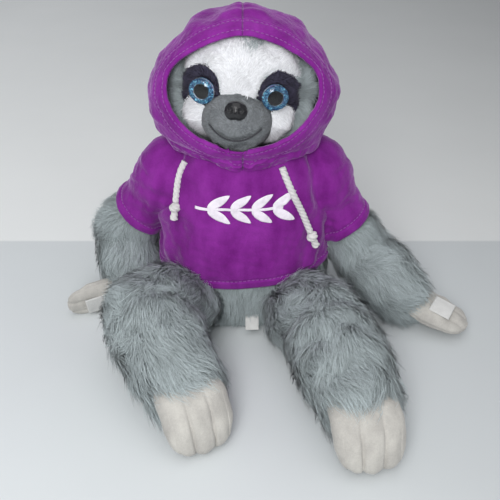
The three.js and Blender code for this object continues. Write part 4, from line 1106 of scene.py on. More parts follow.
@dataclass(frozen=True)
class StitchRow:
    """A row of sewn stitches along a line on the cloth.

    Attributes:
        length: The length of a stitch, in metres.
        pitch: The distance from stitch to stitch, in metres.
        radius: The thread's half thickness, in metres.
    """

    length: float = 2.9 * MM
    pitch: float = 4.0 * MM
    radius: float = 0.42 * MM

    @staticmethod
    @functools.cache
    def tree() -> bpy.types.NodeTree:
        """Builds, once, the tree that lays capsule stitches along a curve."""
        kinds = {"Length": "Float", "Pitch": "Float", "Radius": "Float", "Thread": "Material"}
        graph = Graph(new_tree("lay_stitches", kinds))
        given = graph.add("NodeGroupInput").outputs
        line = graph.add("GeometryNodeMeshToCurve", {0: given["Geometry"]}).outputs[0]
        steps = {"Curve": line, "Length": given["Pitch"]}
        points = graph.add("GeometryNodeCurveToPoints", steps, mode="LENGTH").outputs
        ball = graph.add("GeometryNodeMeshIcoSphere", {"Radius": 1.0, "Subdivisions": 2}).outputs[0]
        sizes = {0: given["Radius"], 1: given["Radius"], 2: graph.times(given["Length"], 0.5)}
        copies = {
            "Points": points["Points"],
            "Instance": ball,
            "Rotation": points["Rotation"],
            "Scale": graph.add("ShaderNodeCombineXYZ", sizes).outputs[0],
        }
        laid = graph.add("GeometryNodeInstanceOnPoints", copies).outputs[0]
        real = graph.add("GeometryNodeRealizeInstances", {"Geometry": laid}).outputs[0]
        done = graph.add("GeometryNodeSetMaterial", {"Geometry": real, "Material": given["Thread"]})
        graph.add("NodeGroupOutput", {0: done.outputs[0]})
        return graph.tree

    def sew(self, name: str, lines: Sequence[Array], thread: Finish) -> Piece:
        """Lays stitches along lines of points.

        Args:
            name: The piece's name.
            lines: The lines, each as points in order.
            thread: The thread's finish.

        Returns:
            One mesh object of all the stitches.
        """
        edges, start = [], 0
        for line in lines:
            edges += [(start + i, start + i + 1) for i in range(len(line) - 1)]
            start += len(line)
        mesh = bpy.data.meshes.new(name)
        mesh.from_pydata(np.vstack(lines).tolist(), edges, [])
        sizes = {"Length": self.length, "Pitch": self.pitch, "Radius": self.radius}
        return apply_tree(in_scene(name, mesh), self.tree(), {**sizes, "Thread": thread.material()})


@dataclass
class Camera:
    """The camera of the photograph.

    Attributes:
        place: Where it stands, in metres.
        pitch_down: How far it looks down, in degrees.
        lens: Its focal length, in millimetres, for the sensor's width.
        sensor_width: That width, in millimetres.
    """

    place: Triple = (0.006, -0.59, 0.47)
    pitch_down: float = 35.0
    lens: float = 50.4
    sensor_width: float = 36.0

    def build(self) -> None:
        """Makes the camera and looks through it."""
        data = bpy.data.cameras.new("photo_camera")
        data.lens = self.lens
        data.sensor_width = self.sensor_width
        camera = in_scene("photo_camera", data)
        camera.location = self.place
        camera.rotation_euler = (math.radians(90 - self.pitch_down), 0.0, 0.0)
        bpy.context.scene.camera = camera


@dataclass
class Studio:
    """A white table against a pale grey background, and soft light.

    Attributes:
        edge_y: Where the table's colour ends, as the camera sees it, over edge_softness.
        painted_light_falloff: The two places in x between which the floor's colour goes from painted light to
            painted shade of the lamps, and its shades there.
        lamps: Each lamp's name, place, target, width in metres and power in watts.
    """

    edge_y: float = 0.098
    edge_softness: float = 0.004
    half_size: float = 6.0
    table_colour: Colour = (0.72, 0.755, 0.765)
    wall_colour: Colour = (0.91, 0.93, 0.92)
    painted_light_falloff: tuple[float, ...] = (-0.5, 0.6, 1.1, 0.63)
    world_colour: Colour = (0.93, 0.95, 1.0)
    world_strength: float = 0.34
    lamps: tuple = (
        ("key", (-0.3, -1.1, 1.4), (0, 0, 0.12), 1.0, 9.0),
        ("fill", (1.3, -0.7, 0.9), (0, 0, 0.12), 1.4, 2.5),
        ("top", (0.0, -0.15, 1.7), (0, -0.05, 0.1), 1.3, 4.6),
        ("flash", (-0.1, -0.85, 0.62), (0, 0, 0.18), 0.35, 4.2),
    )

    def build(self) -> None:
        """Makes the floor, the lamps and the world."""
        self.floor()
        for name, place, target, size, power in self.lamps:
            data = bpy.data.lights.new(name, "AREA")
            data.size = size
            data.energy = power
            lamp = in_scene(name, data)
            lamp.location = place
            lamp.rotation_euler = (Vector(target) - Vector(place)).to_track_quat("-Z", "Y").to_euler()
        world = bpy.data.worlds.new("soft_room")
        world.use_nodes = True
        back = world.node_tree.nodes["Background"]
        back.inputs[0].default_value = rgba(self.world_colour)
        back.inputs[1].default_value = self.world_strength
        scene = bpy.context.scene
        scene.world = world
        scene.view_settings.view_transform = "Standard"

    def floor(self) -> None:
        """Makes the pale floor, whose colour changes where the table ends and fades from painted light to
        painted shade across it.
        """
        s = self.half_size
        corners = np.array([(-s, -s, 0), (s, -s, 0), (s, s, 0), (-s, s, 0)])
        floor = make_piece("floor", corners, [(0, 1, 2, 3)])
        material = bpy.data.materials.new("pale_floor")
        material.use_nodes = True
        graph = Graph(material.node_tree)
        place = graph.place()
        x, y, _ = graph.add("ShaderNodeSeparateXYZ", {0: place}).outputs
        edge = {0: y, 1: self.edge_y, 2: self.edge_y + self.edge_softness}
        past = graph.add("ShaderNodeMapRange", edge).outputs[0]
        # Painted light and shade: the floor's colour is lighter on the left and darker on the right, where
        # the lamps' light falls off.
        shades = dict(zip((0, 1, 2, 3, 4), (x, *self.painted_light_falloff)))
        painted_light_falloff = graph.add("ShaderNodeMapRange", shades).outputs[0]
        mottled = graph.spread(graph.noise(place, 7.0, 3.0), 0.97, 1.03)
        colour = graph.mix(past, self.table_colour, self.wall_colour)
        look = {
            "Base Color": graph.scaled(colour, graph.times(mottled, painted_light_falloff)),
            "Roughness": 0.6,
            "Specular IOR Level": 0.15,
        }
        graph.feed(material.node_tree.nodes["Principled BSDF"], look)
        floor.data.materials.append(material)


@dataclass(frozen=True)
class Form:
    """A stuffed form that is round about an upright axis, given by its rings.

    Attributes:
        bottom: The height of its lowest ring, in metres.
        height: How tall it is.
        half_width: Half its widest width.
        half_depth: Half its deepest depth.
        middle_y: The place of its axis.
        rings: Height, width and depth shares of each ring.
    """

    bottom: float
    height: float
    half_width: float
    half_depth: float
    middle_y: float
    rings: tuple[Triple, ...]

    def share(self, heights: Array) -> Array:
        """How far up the form some heights are, from 0 to 1."""
        return (heights - self.bottom) / self.height

    def halves(self, heights: Array) -> tuple[Array, Array]:
        """Half width and half depth at some heights."""
        shares = self.share(heights)
        wide = smooth_rows(self.rings, shares, 1) * self.half_width
        deep = smooth_rows(self.rings, shares, 2) * self.half_depth
        return np.maximum(wide, TINY), np.maximum(deep, TINY)

    def out(self, points: Array) -> Array:
        """How far out from the axis points lie: 1 on the form, and less inside it."""
        wide, deep = self.halves(points[..., 2])
        return np.hypot(points[..., 0] / wide, (points[..., 1] - self.middle_y) / deep)


@dataclass(frozen=True)
class HemBand:
    """The turned-up band with its row of stitches, along a hem of the top.

    Attributes:
        width: How far the band reaches from the edge, in metres.
        step: Over what length its own edge rises.
        rise: How far it stands out, and how deep the stitches pull in.
        stitch_line: How far from the edge the stitches lie.
        stitch_width: How wide their groove is.
        roll: How far, and over what width, the edge turns in.
    """

    width: float = 9 * MM
    step: float = 1 * MM
    rise: float = 0.7 * MM
    stitch_line: float = 9.5 * MM
    stitch_width: float = 1.3 * MM
    roll: float = 1.2 * MM

    def relief(self, from_edge: Array) -> Array:
        """How far the cloth stands out, by the distance from the edge."""
        band = ramp(self.width - from_edge, self.step) * self.rise
        stitches = self.rise * bump(from_edge - self.stitch_line, self.stitch_width)
        return band - stitches - self.roll * bump(from_edge, self.roll)


HEM = HemBand()
STITCH_RISE = 0.15 * MM
STUFFED_SEAM_WIDTH = 4 * MM
STUFFED_SWELL_PLACE = 9 * MM
STUFFED_SWELL_WIDTH = 5 * MM


def stuffed_seam(distance: Array, depth: float, swell: float) -> Array:
    """The groove of a seam in stuffed cloth and the swell beside it, by the distance from the seam."""
    beside = bump(distance - STUFFED_SWELL_PLACE, STUFFED_SWELL_WIDTH)
    return swell * beside - depth * bump(distance, STUFFED_SEAM_WIDTH)


@dataclass
class Body:
    """The stuffed body and the hooded top's front and back, in metres.

    Attributes:
        form: The form of the cloth over the body, up to the neck.
        hem_low: The height of the hem on the toy's right.
        hem_high: The height of the hem on the toy's left.
        fold_depth: How far the gathers above the hem stand out.
        fold_top_share: How far up the form they reach.
        skin_depth: How far the fur's backing lies under the cloth.
        sink: How much further it lies under the top, which hides it.
        shoulder_radius: How far from the shoulder the sleeve is sewn on.
        hip_radius: The radius round the hip in which the thigh hides the body's fur.
    """

    form: Form = Form(
        bottom=0.0,
        height=184 * MM,
        half_width=86 * MM,
        half_depth=67 * MM,
        middle_y=1 * MM,
        rings=(
            (0, 0.86, 0.8), (0.08, 0.94, 0.9), (0.25, 0.985, 0.98), (0.45, 1, 1),
            (0.62, 0.97, 0.97), (0.78, 0.89, 0.92), (0.9, 0.79, 0.87), (1, 0.64, 0.78),
        ),
    )
    hem_low: float = 51 * MM
    hem_high: float = 61 * MM
    cloth: float = 2.6 * MM
    fold_depth: float = 1.6 * MM
    fold_count: int = 6
    fold_top_share: float = 0.65
    skin_depth: float = 3.4 * MM
    sink: float = 6 * MM
    front_flat: tuple[float, float] = (0.24, 0.158)
    shoulder_radius: float = 37 * MM
    hip_radius: float = 30 * MM

    def depth(self, points: Array) -> Array:
        """How far points lie inside the cloth."""
        inside = (1 - self.form.out(points)) * np.minimum(*self.form.halves(points[..., 2]))
        return np.minimum(inside, self.form.height - points[..., 2])

    def surface(self, heights: Array, turns: Array, grow: Array | float = 0.0) -> Array:
        """Points on the cloth, by height and by angle from +X, with its gathers."""
        wide, deep = self.form.halves(heights)
        up = heights / self.form.height
        fade = np.clip(1 - up / self.fold_top_share, 0, 1)
        wave = 0.5 + 0.5 * np.sin(turns * self.fold_count + 4 * up)
        none = np.zeros_like(turns)
        bare = np.stack([wide * np.cos(turns), deep * np.sin(turns), none], -1)
        out = unit(bare) * (self.fold_depth * fade * wave + grow)[..., None]
        return bare + out + np.stack([none, np.full_like(turns, self.form.middle_y), heights], -1)

    def wrinkles(self, points: Array, turns: Array) -> Array:
        """Height of the cloth's soft wrinkles and of its armhole seams, at points on it."""
        low = np.clip(1 - points[..., 2] / (120 * MM), 0, 1)
        side = np.abs(np.cos(turns))
        slant = np.array([[0.5, 0, 0.8], [0, 1, 0], [-0.6, 0, 0.6]])
        broad = Ripple(70 * MM, 11).at(points * np.array([1, 1, 0.6])) * 2.2 * MM
        slanting = Ripple(26 * MM, 12).at(points @ slant) * (0.55 + 1.1 * side**2 + 0.7 * low) * MM
        return broad + slanting + Ripple(9 * MM, 13).at(points) * 0.22 * MM

    def armholes(self, points: Array) -> Array:
        """Height of the cloth where the sleeves are sewn on."""
        away = (np.linalg.norm(points - pivot("shoulder_" + side.value), axis=-1) for side in Side)
        return sum(stuffed_seam(distance - self.shoulder_radius, 2.2 * MM, 1.3 * MM) for distance in away)

    def panel_rows(self, front: bool, grow: float = 0.0, columns: int = 190, rows: int = 150) -> Array:
        """Points of the front or back panel, from the hem up."""
        start, end = (math.pi, 2 * math.pi) if front else (0.0, math.pi)
        turns = np.broadcast_to(np.linspace(start, end, columns), (rows, columns))
        hem = (self.hem_high + self.hem_low) / 2 + np.cos(turns) * (self.hem_high - self.hem_low) / 2
        hem = hem + 1.5 * MM * np.sin(3 * turns)
        share = np.linspace(0, 1, rows)[:, None]
        heights = hem + (self.form.height - 0.6 * MM - hem) * share
        base = self.surface(heights, turns)
        seam = np.minimum(turns - start, end - turns) * self.form.half_width
        relief = self.wrinkles(base, turns) * np.clip(share * 8, 0.35, 1) + self.armholes(base)
        relief = relief - 1.8 * MM * bump(seam, 2.5 * MM) + HEM.relief(heights - hem)
        return self.surface(heights, turns, relief + grow)

    def panel(self, front: bool) -> None:
        """Sews one panel of the top."""
        rows = self.panel_rows(front)
        inside = np.array([0, self.form.middle_y, 0.1])
        name, node = ("top_front", "hoodie_front") if front else ("top_back", "hoodie_back")
        cloth = skin_piece(name, Skin(rows, closed=False, capped=False, inside=inside), PURPLE_VELOUR)
        piece = finish_piece(thicken(cloth, self.cloth), PURPLE_VELOUR, "body", node)

    def hem_stitches(self) -> None:
        """Sews the row of stitches above the hem."""
        panels = [self.panel_rows(front, STITCH_RISE) for front in (True, False)]
        lines = [line_at(rows, rows[:, :, 2] - rows[0, :, 2], HEM.stitch_line) for rows in panels]
        finish_piece(StitchRow().sew("hem_stitches", lines, PURPLE_THREAD), PURPLE_THREAD, "body")

    def coat(self) -> None:
        """Grows the fur of the body below the hem."""
        heights = np.concatenate([[TABLE_GAP], np.linspace(3 * MM, self.form.height - 8 * MM, 70)])
        h, t = np.meshgrid(heights, around(120), indexing="ij")
        sunk = self.sink * ramp(h - self.hem_high, 10 * MM)
        rows = self.surface(h, t, -self.skin_depth - self.fold_depth - sunk)
        hem = (self.hem_high + self.hem_low) / 2 + rows[..., 0] / self.form.half_width * 5 * MM
        hips = [Ball(pivot("hip_" + side.value), self.hip_radius) for side in Side]
        cover = ramp(hem + 3 * MM - rows[..., 2], 3 * MM) * above_table(rows) * open_share(rows, hips)
        grow = ramp(hem + 4 * MM - rows[..., 2], 14 * MM, 0.35)
        comb = Ripple(50 * MM, 21).drift(rows) * 0.3 + np.array([0, -0.2, -1.0])
        piece = plush("body_coat", Skin(rows), GREY_COAT, comb, cover, grow)
        finish_piece(piece, GREY_FUR, "body", "torso")

    def build(self) -> None:
        """Makes the body's coat and the top's two panels."""
        self.coat()
        self.panel(True)
        self.panel(False)
        self.hem_stitches()


@dataclass
class ChestSprig:
    """A generic leafy sprig printed across the chest, in metres and degrees, with its middle at x and z.

    Attributes:
        gap: How far the film's face stands off the cloth.
        film: The film's thickness.
    """

    body: Body
    x: float = -3 * MM
    z: float = 142 * MM
    half_width: float = 38 * MM
    leaf_length: float = 13 * MM
    leaf_half_width: float = 4 * MM
    leaf_pairs: int = 4
    leaf_turn: float = 35.0
    stem_half_width: float = 1.3 * MM
    gap: float = 0.55 * MM
    film: float = 0.35 * MM

    def on_cloth(self, flat: Array) -> Array:
        """Lays flat X and Z places on the front panel."""
        heights = self.z + flat[..., 1]
        wide, _ = self.body.form.halves(heights)
        turns = 2 * math.pi - np.arccos(np.clip((self.x + flat[..., 0]) / wide, -1, 1))
        base = self.body.surface(heights, turns)
        relief = self.body.wrinkles(base, turns) + self.body.armholes(base)
        return self.body.surface(heights, turns, relief + self.gap)

    def leaf(self, root: Array, turn: float) -> Array:
        """Points of one leaf, from its root to its tip."""
        along = np.linspace(0, 1, 22)[:, None]
        half = self.leaf_half_width * np.sin(math.pi * along**0.8) ** 0.75 + 0.15 * MM
        x = 2 * self.leaf_length * along * 0.86 + 1.5 * MM
        z = half * np.linspace(-1, 1, 9)[None, :]
        a = math.radians(turn)
        return root + np.stack([x * math.cos(a) - z * math.sin(a), x * math.sin(a) + z * math.cos(a)], -1)

    def build(self) -> None:
        """Prints the stem and its leaves."""
        run = np.linspace(-self.half_width, self.half_width, 60)[:, None]
        across = np.linspace(-1, 1, 5)[None, :] * self.stem_half_width
        patches = [np.stack(np.broadcast_arrays(run, across), -1)]
        for i in range(self.leaf_pairs):
            root = np.array([self.half_width * ((2 * i + 1) / self.leaf_pairs - 1), 0.0])
            patches += [self.leaf(root, turn) for turn in (self.leaf_turn, -self.leaf_turn)]
        vertices, faces, start = [], [], 0
        for flat in patches:
            skin = Skin(self.on_cloth(flat), closed=False, capped=False, inside=np.array([0, 0, self.z]))
            vertices.append(skin.vertices())
            faces += [tuple(start + k for k in face) for face in skin.faces()]
            start += len(vertices[-1])
        piece = thicken(make_piece("chest_sprig", np.vstack(vertices), faces, PRINT_FILM), self.film)
        finish_piece(piece, PRINT_FILM, "body", "chest_print")


@dataclass
class Limb:
    """What an arm and a leg share.

    Attributes:
        body: The body that the limb is sewn to.
        side: Which side of the toy it is on.
    """

    body: Body
    side: Side

    def name(self, part: str) -> str:
        """Names a piece, a joint, a body or a node after the limb's side."""
        return part + "_" + self.side.value

    def joints(self, *parts: str) -> list[Array]:
        """Finds some of the limb's joints in the frame."""
        return [pivot(self.name(part)) for part in parts]

    def tie(self, piece: Piece, finish: Finish, body: str, *nodes: str) -> Piece:
        """Ties a piece to the body and nodes of the limb's side."""
        return finish_piece(piece, finish, self.name(body), *[self.name(node) for node in nodes])


@dataclass
class Arm(Limb):
    """One arm: its sleeve, upper arm, forearm and hand pad, in metres and degrees.

    Attributes:
        palm_roll: How far the palm is rolled from facing up.
        hand_aim: Where the hand points, turned out and raised.
        radius: The radius of the stuffed arm with its pile.
        sleeve_flat: The size of the cut sleeve, laid flat, with sleeve_area its true area; neither is used.
        pile_room: How far the backing lies under the tips of the pile.
        upper_shares: Places along the upper arm and shares of the radius there.
        fore_shares: The same for the forearm.
        hand_shares: Places along the hand, and shares of its width and thickness there.
        finger_line: How far from the middle the sewn finger lines run.
        finger_start: How far from the wrist they start.
        velcro_place: How far along the hand the middle of its square lies.
    """

    palm_roll: float
    hand_aim: tuple[float, float]
    radius: float = 32 * MM
    sleeve_length: float = 66 * MM
    sleeve_root: float = 37 * MM
    sleeve_hem: float = 30 * MM
    sleeve_flat: tuple[float, float] = (0.235, 0.115)
    sleeve_area: float = 0.0215
    cloth: float = 2.6 * MM
    pile_room: float = 5 * MM
    upper_shares: tuple = ((0, 1.05), (0.3, 0.96), (0.6, 0.84), (0.72, 0.97), (0.86, 1), (1, 0.93))
    fore_shares: tuple = ((0, 0.9), (0.12, 0.985), (0.45, 1.03), (0.75, 0.97), (1, 0.84))
    hand_length: float = 72 * MM
    hand_half_width: float = 21 * MM
    hand_half_thickness: float = 10 * MM
    hand_shares: tuple = ((0.1, 0.78, 1), (0.4, 0.98, 1), (0.65, 0.95, 0.9), (0.76, 0.84, 0.76))
    finger_line: float = 6.5 * MM
    finger_start: float = 36 * MM
    velcro_side: float = 21 * MM
    velcro_thickness: float = 1.2 * MM
    velcro_place: float = 0.6

    def __post_init__(self) -> None:
        """Finds the arm's joints and ways."""
        self.shoulder, self.elbow, self.wrist = self.joints("shoulder", "elbow", "wrist")
        self.upper_aim = unit(self.elbow - self.shoulder)
        self.fore_aim = unit(self.wrist - self.elbow)
        self.hand_way = aim(self.side.sign, *self.hand_aim)
        self.lean = self.radius - self.pile_room
        turn = Matrix.Rotation(math.radians(self.palm_roll) * self.side.sign, 3, Vector(self.hand_way))
        self.across = unit(np.cross(np.array(turn @ Vector(UP)), self.hand_way))
        self.palm = unit(np.cross(self.hand_way, self.across))

    def sleeve_skin(self, grow: float = 0.0) -> tuple[Skin, Array]:
        """Lofts the sleeve with its wrinkles and seams, and gives each point's distance from the hem."""
        end = self.shoulder + self.upper_aim * self.sleeve_length
        root, hem = self.sleeve_root, self.sleeve_hem
        radii = ((0, root), (0.3, root * 0.965), (0.6, hem), (1, hem + 1 * MM))
        table = [(place, radius, radius) for place, radius in radii]
        skin = limb_skin(self.shoulder, end, BACK, table, round_tip=False, sides=96, steps=90)
        along = (skin.rows - self.shoulder) @ self.upper_aim
        left = self.sleeve_length - along
        across = skin.rows - self.shoulder - along[..., None] * self.upper_aim
        inner = np.clip(-self.side.sign * across[..., 0] / self.sleeve_root, -0.2, 1)
        bent = skin.rows + Ripple(30 * MM, 31).drift(skin.rows) * 3 * MM
        folds = Ripple(21 * MM, 32 + self.side.sign).at(bent @ np.diag([0.5, 0.6, 1.3]))
        relief = folds * (0.9 + 1.1 * inner) * MM * ramp(left, 25 * MM, 0.25)
        relief = relief + Ripple(8 * MM, 33).at(skin.rows) * 0.2 * MM + HEM.relief(left)
        wide, _ = self.body.form.halves(np.clip(skin.rows[..., 2], 0, self.body.form.height))
        from_body = np.abs(skin.rows[..., 0]) - wide * 0.97
        relief = relief + stuffed_seam(from_body, 2.0 * MM, 1.2 * MM)
        grown = replace(skin.pushed(relief + grow), capped=False)
        return grown, self.sleeve_length - (grown.rows - self.shoulder) @ self.upper_aim

    def sleeve(self) -> None:
        """Sews the sleeve and its hem stitches."""
        skin, _ = self.sleeve_skin()
        piece = thicken(skin_piece(self.name("velour_sleeve"), skin, PURPLE_VELOUR), self.cloth)
        self.tie(piece, PURPLE_VELOUR, "arm", "sleeve")
        self.name("upper_coat")
        skin, left = self.sleeve_skin(STITCH_RISE)
        line = line_at(skin.rows, left, HEM.stitch_line)
        ring = np.vstack([line, line[:1]])
        self.tie(StitchRow().sew(self.name("sleeve_stitches"), [ring], PURPLE_THREAD), PURPLE_THREAD, "arm")

    def stuffed(self, start: Array, end: Array, upward: Array, shares: Sequence, seed: int) -> Skin:
        """Lofts the backing of one part of the arm."""
        table = [(place, share * self.lean, share * self.lean) for place, share in shares]
        return limb_skin(start, end, upward, table).rested().rippled(28 * MM, seed, 1.2 * MM)

    def coats(self) -> None:
        """Grows the fur of the upper arm and forearm."""
        upper = self.stuffed(self.shoulder, self.elbow, BACK, self.upper_shares, 41)
        past = (upper.rows - self.shoulder) @ self.upper_aim - self.sleeve_length
        cover = ramp(past + 8 * MM, 4 * MM) * above_table(upper.rows)
        grow = ramp(past + 6 * MM, 14 * MM, 0.45)
        comb = self.upper_aim + Ripple(38 * MM, 42).drift(upper.rows) * 0.55
        piece = plush(self.name("upper_coat"), upper, GREY_COAT, comb, cover, grow)
        self.tie(piece, GREY_FUR, "arm", "upper_arm")
        fore = self.stuffed(self.elbow, self.wrist, UP, self.fore_shares, 43)
        cover = above_table(fore.rows) * open_share(fore.rows, [Ball(self.elbow, self.lean * 0.9)])
        grow = 0.9 + 0.35 * ramp((fore.rows - self.elbow) @ self.fore_aim, 60 * MM)
        comb = self.fore_aim + Ripple(38 * MM, 44).drift(fore.rows) * 0.55
        piece = plush(self.name("fore_coat"), fore, GREY_COAT, comb, cover, grow)
        self.tie(piece, GREY_FUR, "forearm_body", "forearm")

    def pad(self) -> None:
        """Sews the hand pad with its finger lines."""
        wide, thick = self.hand_half_width, self.hand_half_thickness
        table = [(place, w * wide, t * thick) for place, w, t in self.hand_shares]
        tip = self.wrist + self.hand_way * self.hand_length
        skin = limb_skin(self.wrist, tip, self.palm, table, sides=72, steps=50)
        place = skin.rows - self.wrist
        across = place @ self.across
        grooves = sum(bump(across - mark, 1.3 * MM) for mark in (-self.finger_line, self.finger_line))
        reach = ramp(place @ self.hand_way - self.finger_start, 8 * MM)
        seam = bump(place @ self.palm, 1.2 * MM)
        relief = -1.3 * MM * grooves * reach - 0.9 * MM * seam + Ripple(17 * MM, 51).at(skin.rows) * 0.5 * MM
        pad = skin_piece(self.name("palm_pad"), skin.pushed(relief).rested(), CREAM_VELBOA)
        self.tie(pad, CREAM_VELBOA, "hand_body", "hand")

    def square(self) -> None:
        """Sews the hook-and-loop square on the palm."""
        middle = self.wrist + self.hand_way * self.hand_length * self.velcro_place
        half = self.velcro_side / 2
        s, t = np.meshgrid(np.linspace(-half, half, 44), np.linspace(-half, half, 44), indexing="ij")
        rise = self.hand_half_thickness * np.sqrt(np.clip(1 - (s / self.hand_half_width) ** 2, 0, 1)) * 0.97
        hook_turns = 2 * math.pi / (1.3 * MM)
        hooks = 0.12 * MM * np.sin(s * hook_turns) * np.sin(t * hook_turns)
        edge = np.maximum(np.abs(s), np.abs(t)) - half
        lip = 0.35 * MM * bump(edge + 1.4 * MM, 0.8 * MM) - 0.5 * MM * bump(edge, 0.5 * MM)
        height = (rise + self.velcro_thickness + hooks + lip)[..., None]
        rows = middle + s[..., None] * self.across + t[..., None] * self.hand_way + height * self.palm
        skin = Skin(rows, closed=False, capped=False, inside=middle - self.palm)
        patch = thicken(skin_piece(self.name("hook_square"), skin, TAPE), self.velcro_thickness)
        self.tie(patch, TAPE, "hand_body", "velcro_patch")

    def build(self) -> None:
        """Makes the arm."""
        self.coats()
        self.sleeve()
        self.pad()
        self.square()


@dataclass
class Leg(Limb):
    """One leg: thigh, shin and foot pad, in metres and degrees.

    Attributes:
        foot_out: How far the foot is turned out.
        pile_room: How far the backing lies under the tips of the pile.
        hidden_depth: How deep in the body the thigh's fur ends.
        thigh_shares: Places along the thigh, and shares of its width and height there.
        shin_shares: The same for the shin.
        toe_line: How far from the middle the sewn toe lines run.
        toe_length: How far the rounded tips reach past the spine.
        spine_shares: Places of the pad's spine, ahead and up, as shares of reach and drop.
    """

    foot_out: float
    half_width: float = 43 * MM
    half_height: float = 42 * MM
    pile_room: float = 5.5 * MM
    hidden_depth: float = 12 * MM
    thigh_shares: tuple = (
        (0, 0.628, 0.643),
        (0.3, 0.85, 0.78),
        (0.55, 0.98, 0.95),
        (0.8, 1, 1),
        (1, 0.93, 0.952),
    )
    shin_shares: tuple = (
        (0, 0.88, 0.93),
        (0.14, 0.96, 1.02),
        (0.45, 1, 1),
        (0.75, 0.93, 0.94),
        (1, 0.814, 0.833),
    )
    pad_half_width: float = 30 * MM
    pad_half_thickness: float = 13.5 * MM
    reach: float = 48 * MM
    drop: float = 26 * MM
    toe_line: float = 9.4 * MM
    toe_length: float = 11 * MM
    spine_shares: tuple = ((0.1, 0.1), (0.4, 0.16), (0.62, 0.12), (0.82, -0.16), (0.95, -0.55), (1.0, -0.95))

    def __post_init__(self) -> None:
        """Finds the leg's joints and the foot's way."""
        self.hip, self.knee, self.ankle = self.joints("hip", "knee", "ankle")
        self.foot_way = aim(self.side.sign, self.foot_out, 0.0)

    def stuffed(self, start: Array, end: Array, shares: Sequence, seed: int) -> Skin:
        """Lofts the backing of one part of the leg."""
        wide, high = self.half_width - self.pile_room, self.half_height - self.pile_room
        table = [(place, w * wide, h * high) for place, w, h in shares]
        return limb_skin(start, end, UP, table, sides=64).rested().rippled(34 * MM, seed, 1.5 * MM)

    def comb(self, rows: Array, way: Array, seed: int) -> Array:
        """The way of the fur: along the leg, a little down, and wandering."""
        return way + Ripple(42 * MM, seed).drift(rows) * 0.6 + np.array([0, 0, -0.25])

    def coats(self) -> None:
        """Grows the fur of the thigh and shin."""
        sign = self.side.sign
        thigh = self.stuffed(self.hip, self.knee, self.thigh_shares, 61 + sign)
        cover = above_table(thigh.rows) * open_share(thigh.rows, [self.body], self.hidden_depth)
        comb = self.comb(thigh.rows, unit(self.knee - self.hip), 63 + sign)
        piece = plush(self.name("thigh_coat"), thigh, GREY_COAT, comb, cover)
        self.tie(piece, GREY_FUR, "thigh_body", "thigh")
        shin = self.stuffed(self.knee, self.ankle, self.shin_shares, 65 + sign)
        shin_aim = unit(self.ankle - self.knee)
        run = (shin.rows - self.knee) @ shin_aim
        cover = above_table(shin.rows) * ramp(run + 8 * MM, 8 * MM)
        grow = 1 + 0.3 * ramp(run - 40 * MM, 40 * MM)
        comb = self.comb(shin.rows, shin_aim, 67 + sign)
        piece = plush(self.name("shin_coat"), shin, GREY_COAT, comb, cover, grow)
        self.tie(piece, GREY_FUR, "shin_body", "shin")

    def foot_rows(self) -> Array:
        """Lofts the foot pad along its spine, with three toes that are round at the tip."""
        knots = np.array(self.spine_shares) * np.array([self.reach, self.drop])
        spine = through(knots, 54)
        count = len(spine)
        turns = around(220)
        cos, sin = np.cos(turns), np.sin(turns)
        u = np.sign(cos) * np.abs(cos) ** (2 / 2.5) * self.pad_half_width
        w = np.sign(sin) * np.abs(sin) ** (2 / 2.2) * self.pad_half_thickness
        lobe = np.cos(math.pi * np.clip(np.abs(u) / self.toe_line, 0, 3)) * 0.5 + 0.5
        lobe = np.where(np.abs(u) < 2.6 * self.toe_line, lobe, 1.0)
        groove = sum(bump(u - mark, 1.3 * MM) for mark in (-self.toe_line, self.toe_line))
        bends = np.radians(np.linspace(8, 86, 16))
        tangents = unit(np.gradient(spine, axis=0))
        tips = spine[-1] + tangents[-1] * self.toe_length * np.sin(bends)[:, None]
        middles = np.concatenate([spine, tips])[:, None]
        ways = np.concatenate([tangents, np.repeat(tangents[-1:], len(bends), 0)])[:, None]
        lifts = np.stack([-ways[..., 1], ways[..., 0]], -1)

        def column(before: Array, at_tip: Array) -> Array:
            """Joins the values of the spine and of the tip, as one column."""
            values = [np.broadcast_to(before, count), np.broadcast_to(at_tip, len(bends))]
            return np.concatenate(values)[:, None]

        taper = 0.93 + 0.07 * np.sin(math.pi * np.linspace(0, 1, count) ** 0.8)
        shrink = column(1, np.cos(bends) ** 0.8)
        narrow = column(taper, 0.93 * (0.5 + 0.5 * np.cos(bends) ** 0.7))
        ahead = column(0, np.sin(bends))
        toes = column(np.clip(np.linspace(-0.5, 1.15, count), 0, 1), 1)
        round_back = column(np.clip(np.linspace(-1.2, 1, count), 0, 1) ** 2, 1)
        puffed = 0.1 * (lobe - 0.5) * toes
        rise = w * ((1 + puffed - 0.22 * groove * toes) * shrink)
        back = (lobe - 1) * 2.2 * MM * ahead - 9 * MM * (np.abs(u) / self.pad_half_width) ** 2.6 * round_back
        flat = middles + lifts * rise[..., None] + ways * back[..., None]
        sideways = (u * narrow)[..., None] * unit(np.cross(self.foot_way, UP))
        return self.ankle + flat[..., :1] * self.foot_way + sideways + flat[..., 1:] * UP

    def foot(self) -> None:
        """Sews the foot pad."""
        skin = Skin(self.foot_rows()).rippled(19 * MM, 71 + self.side.sign, 0.45 * MM)
        pad = skin_piece(self.name("foot_pad"), skin.rested(), CREAM_VELBOA)
        self.tie(pad, CREAM_VELBOA, "foot_body", "foot")

    def build(self) -> None:
        """Makes the leg."""
        self.coats()
        self.foot()


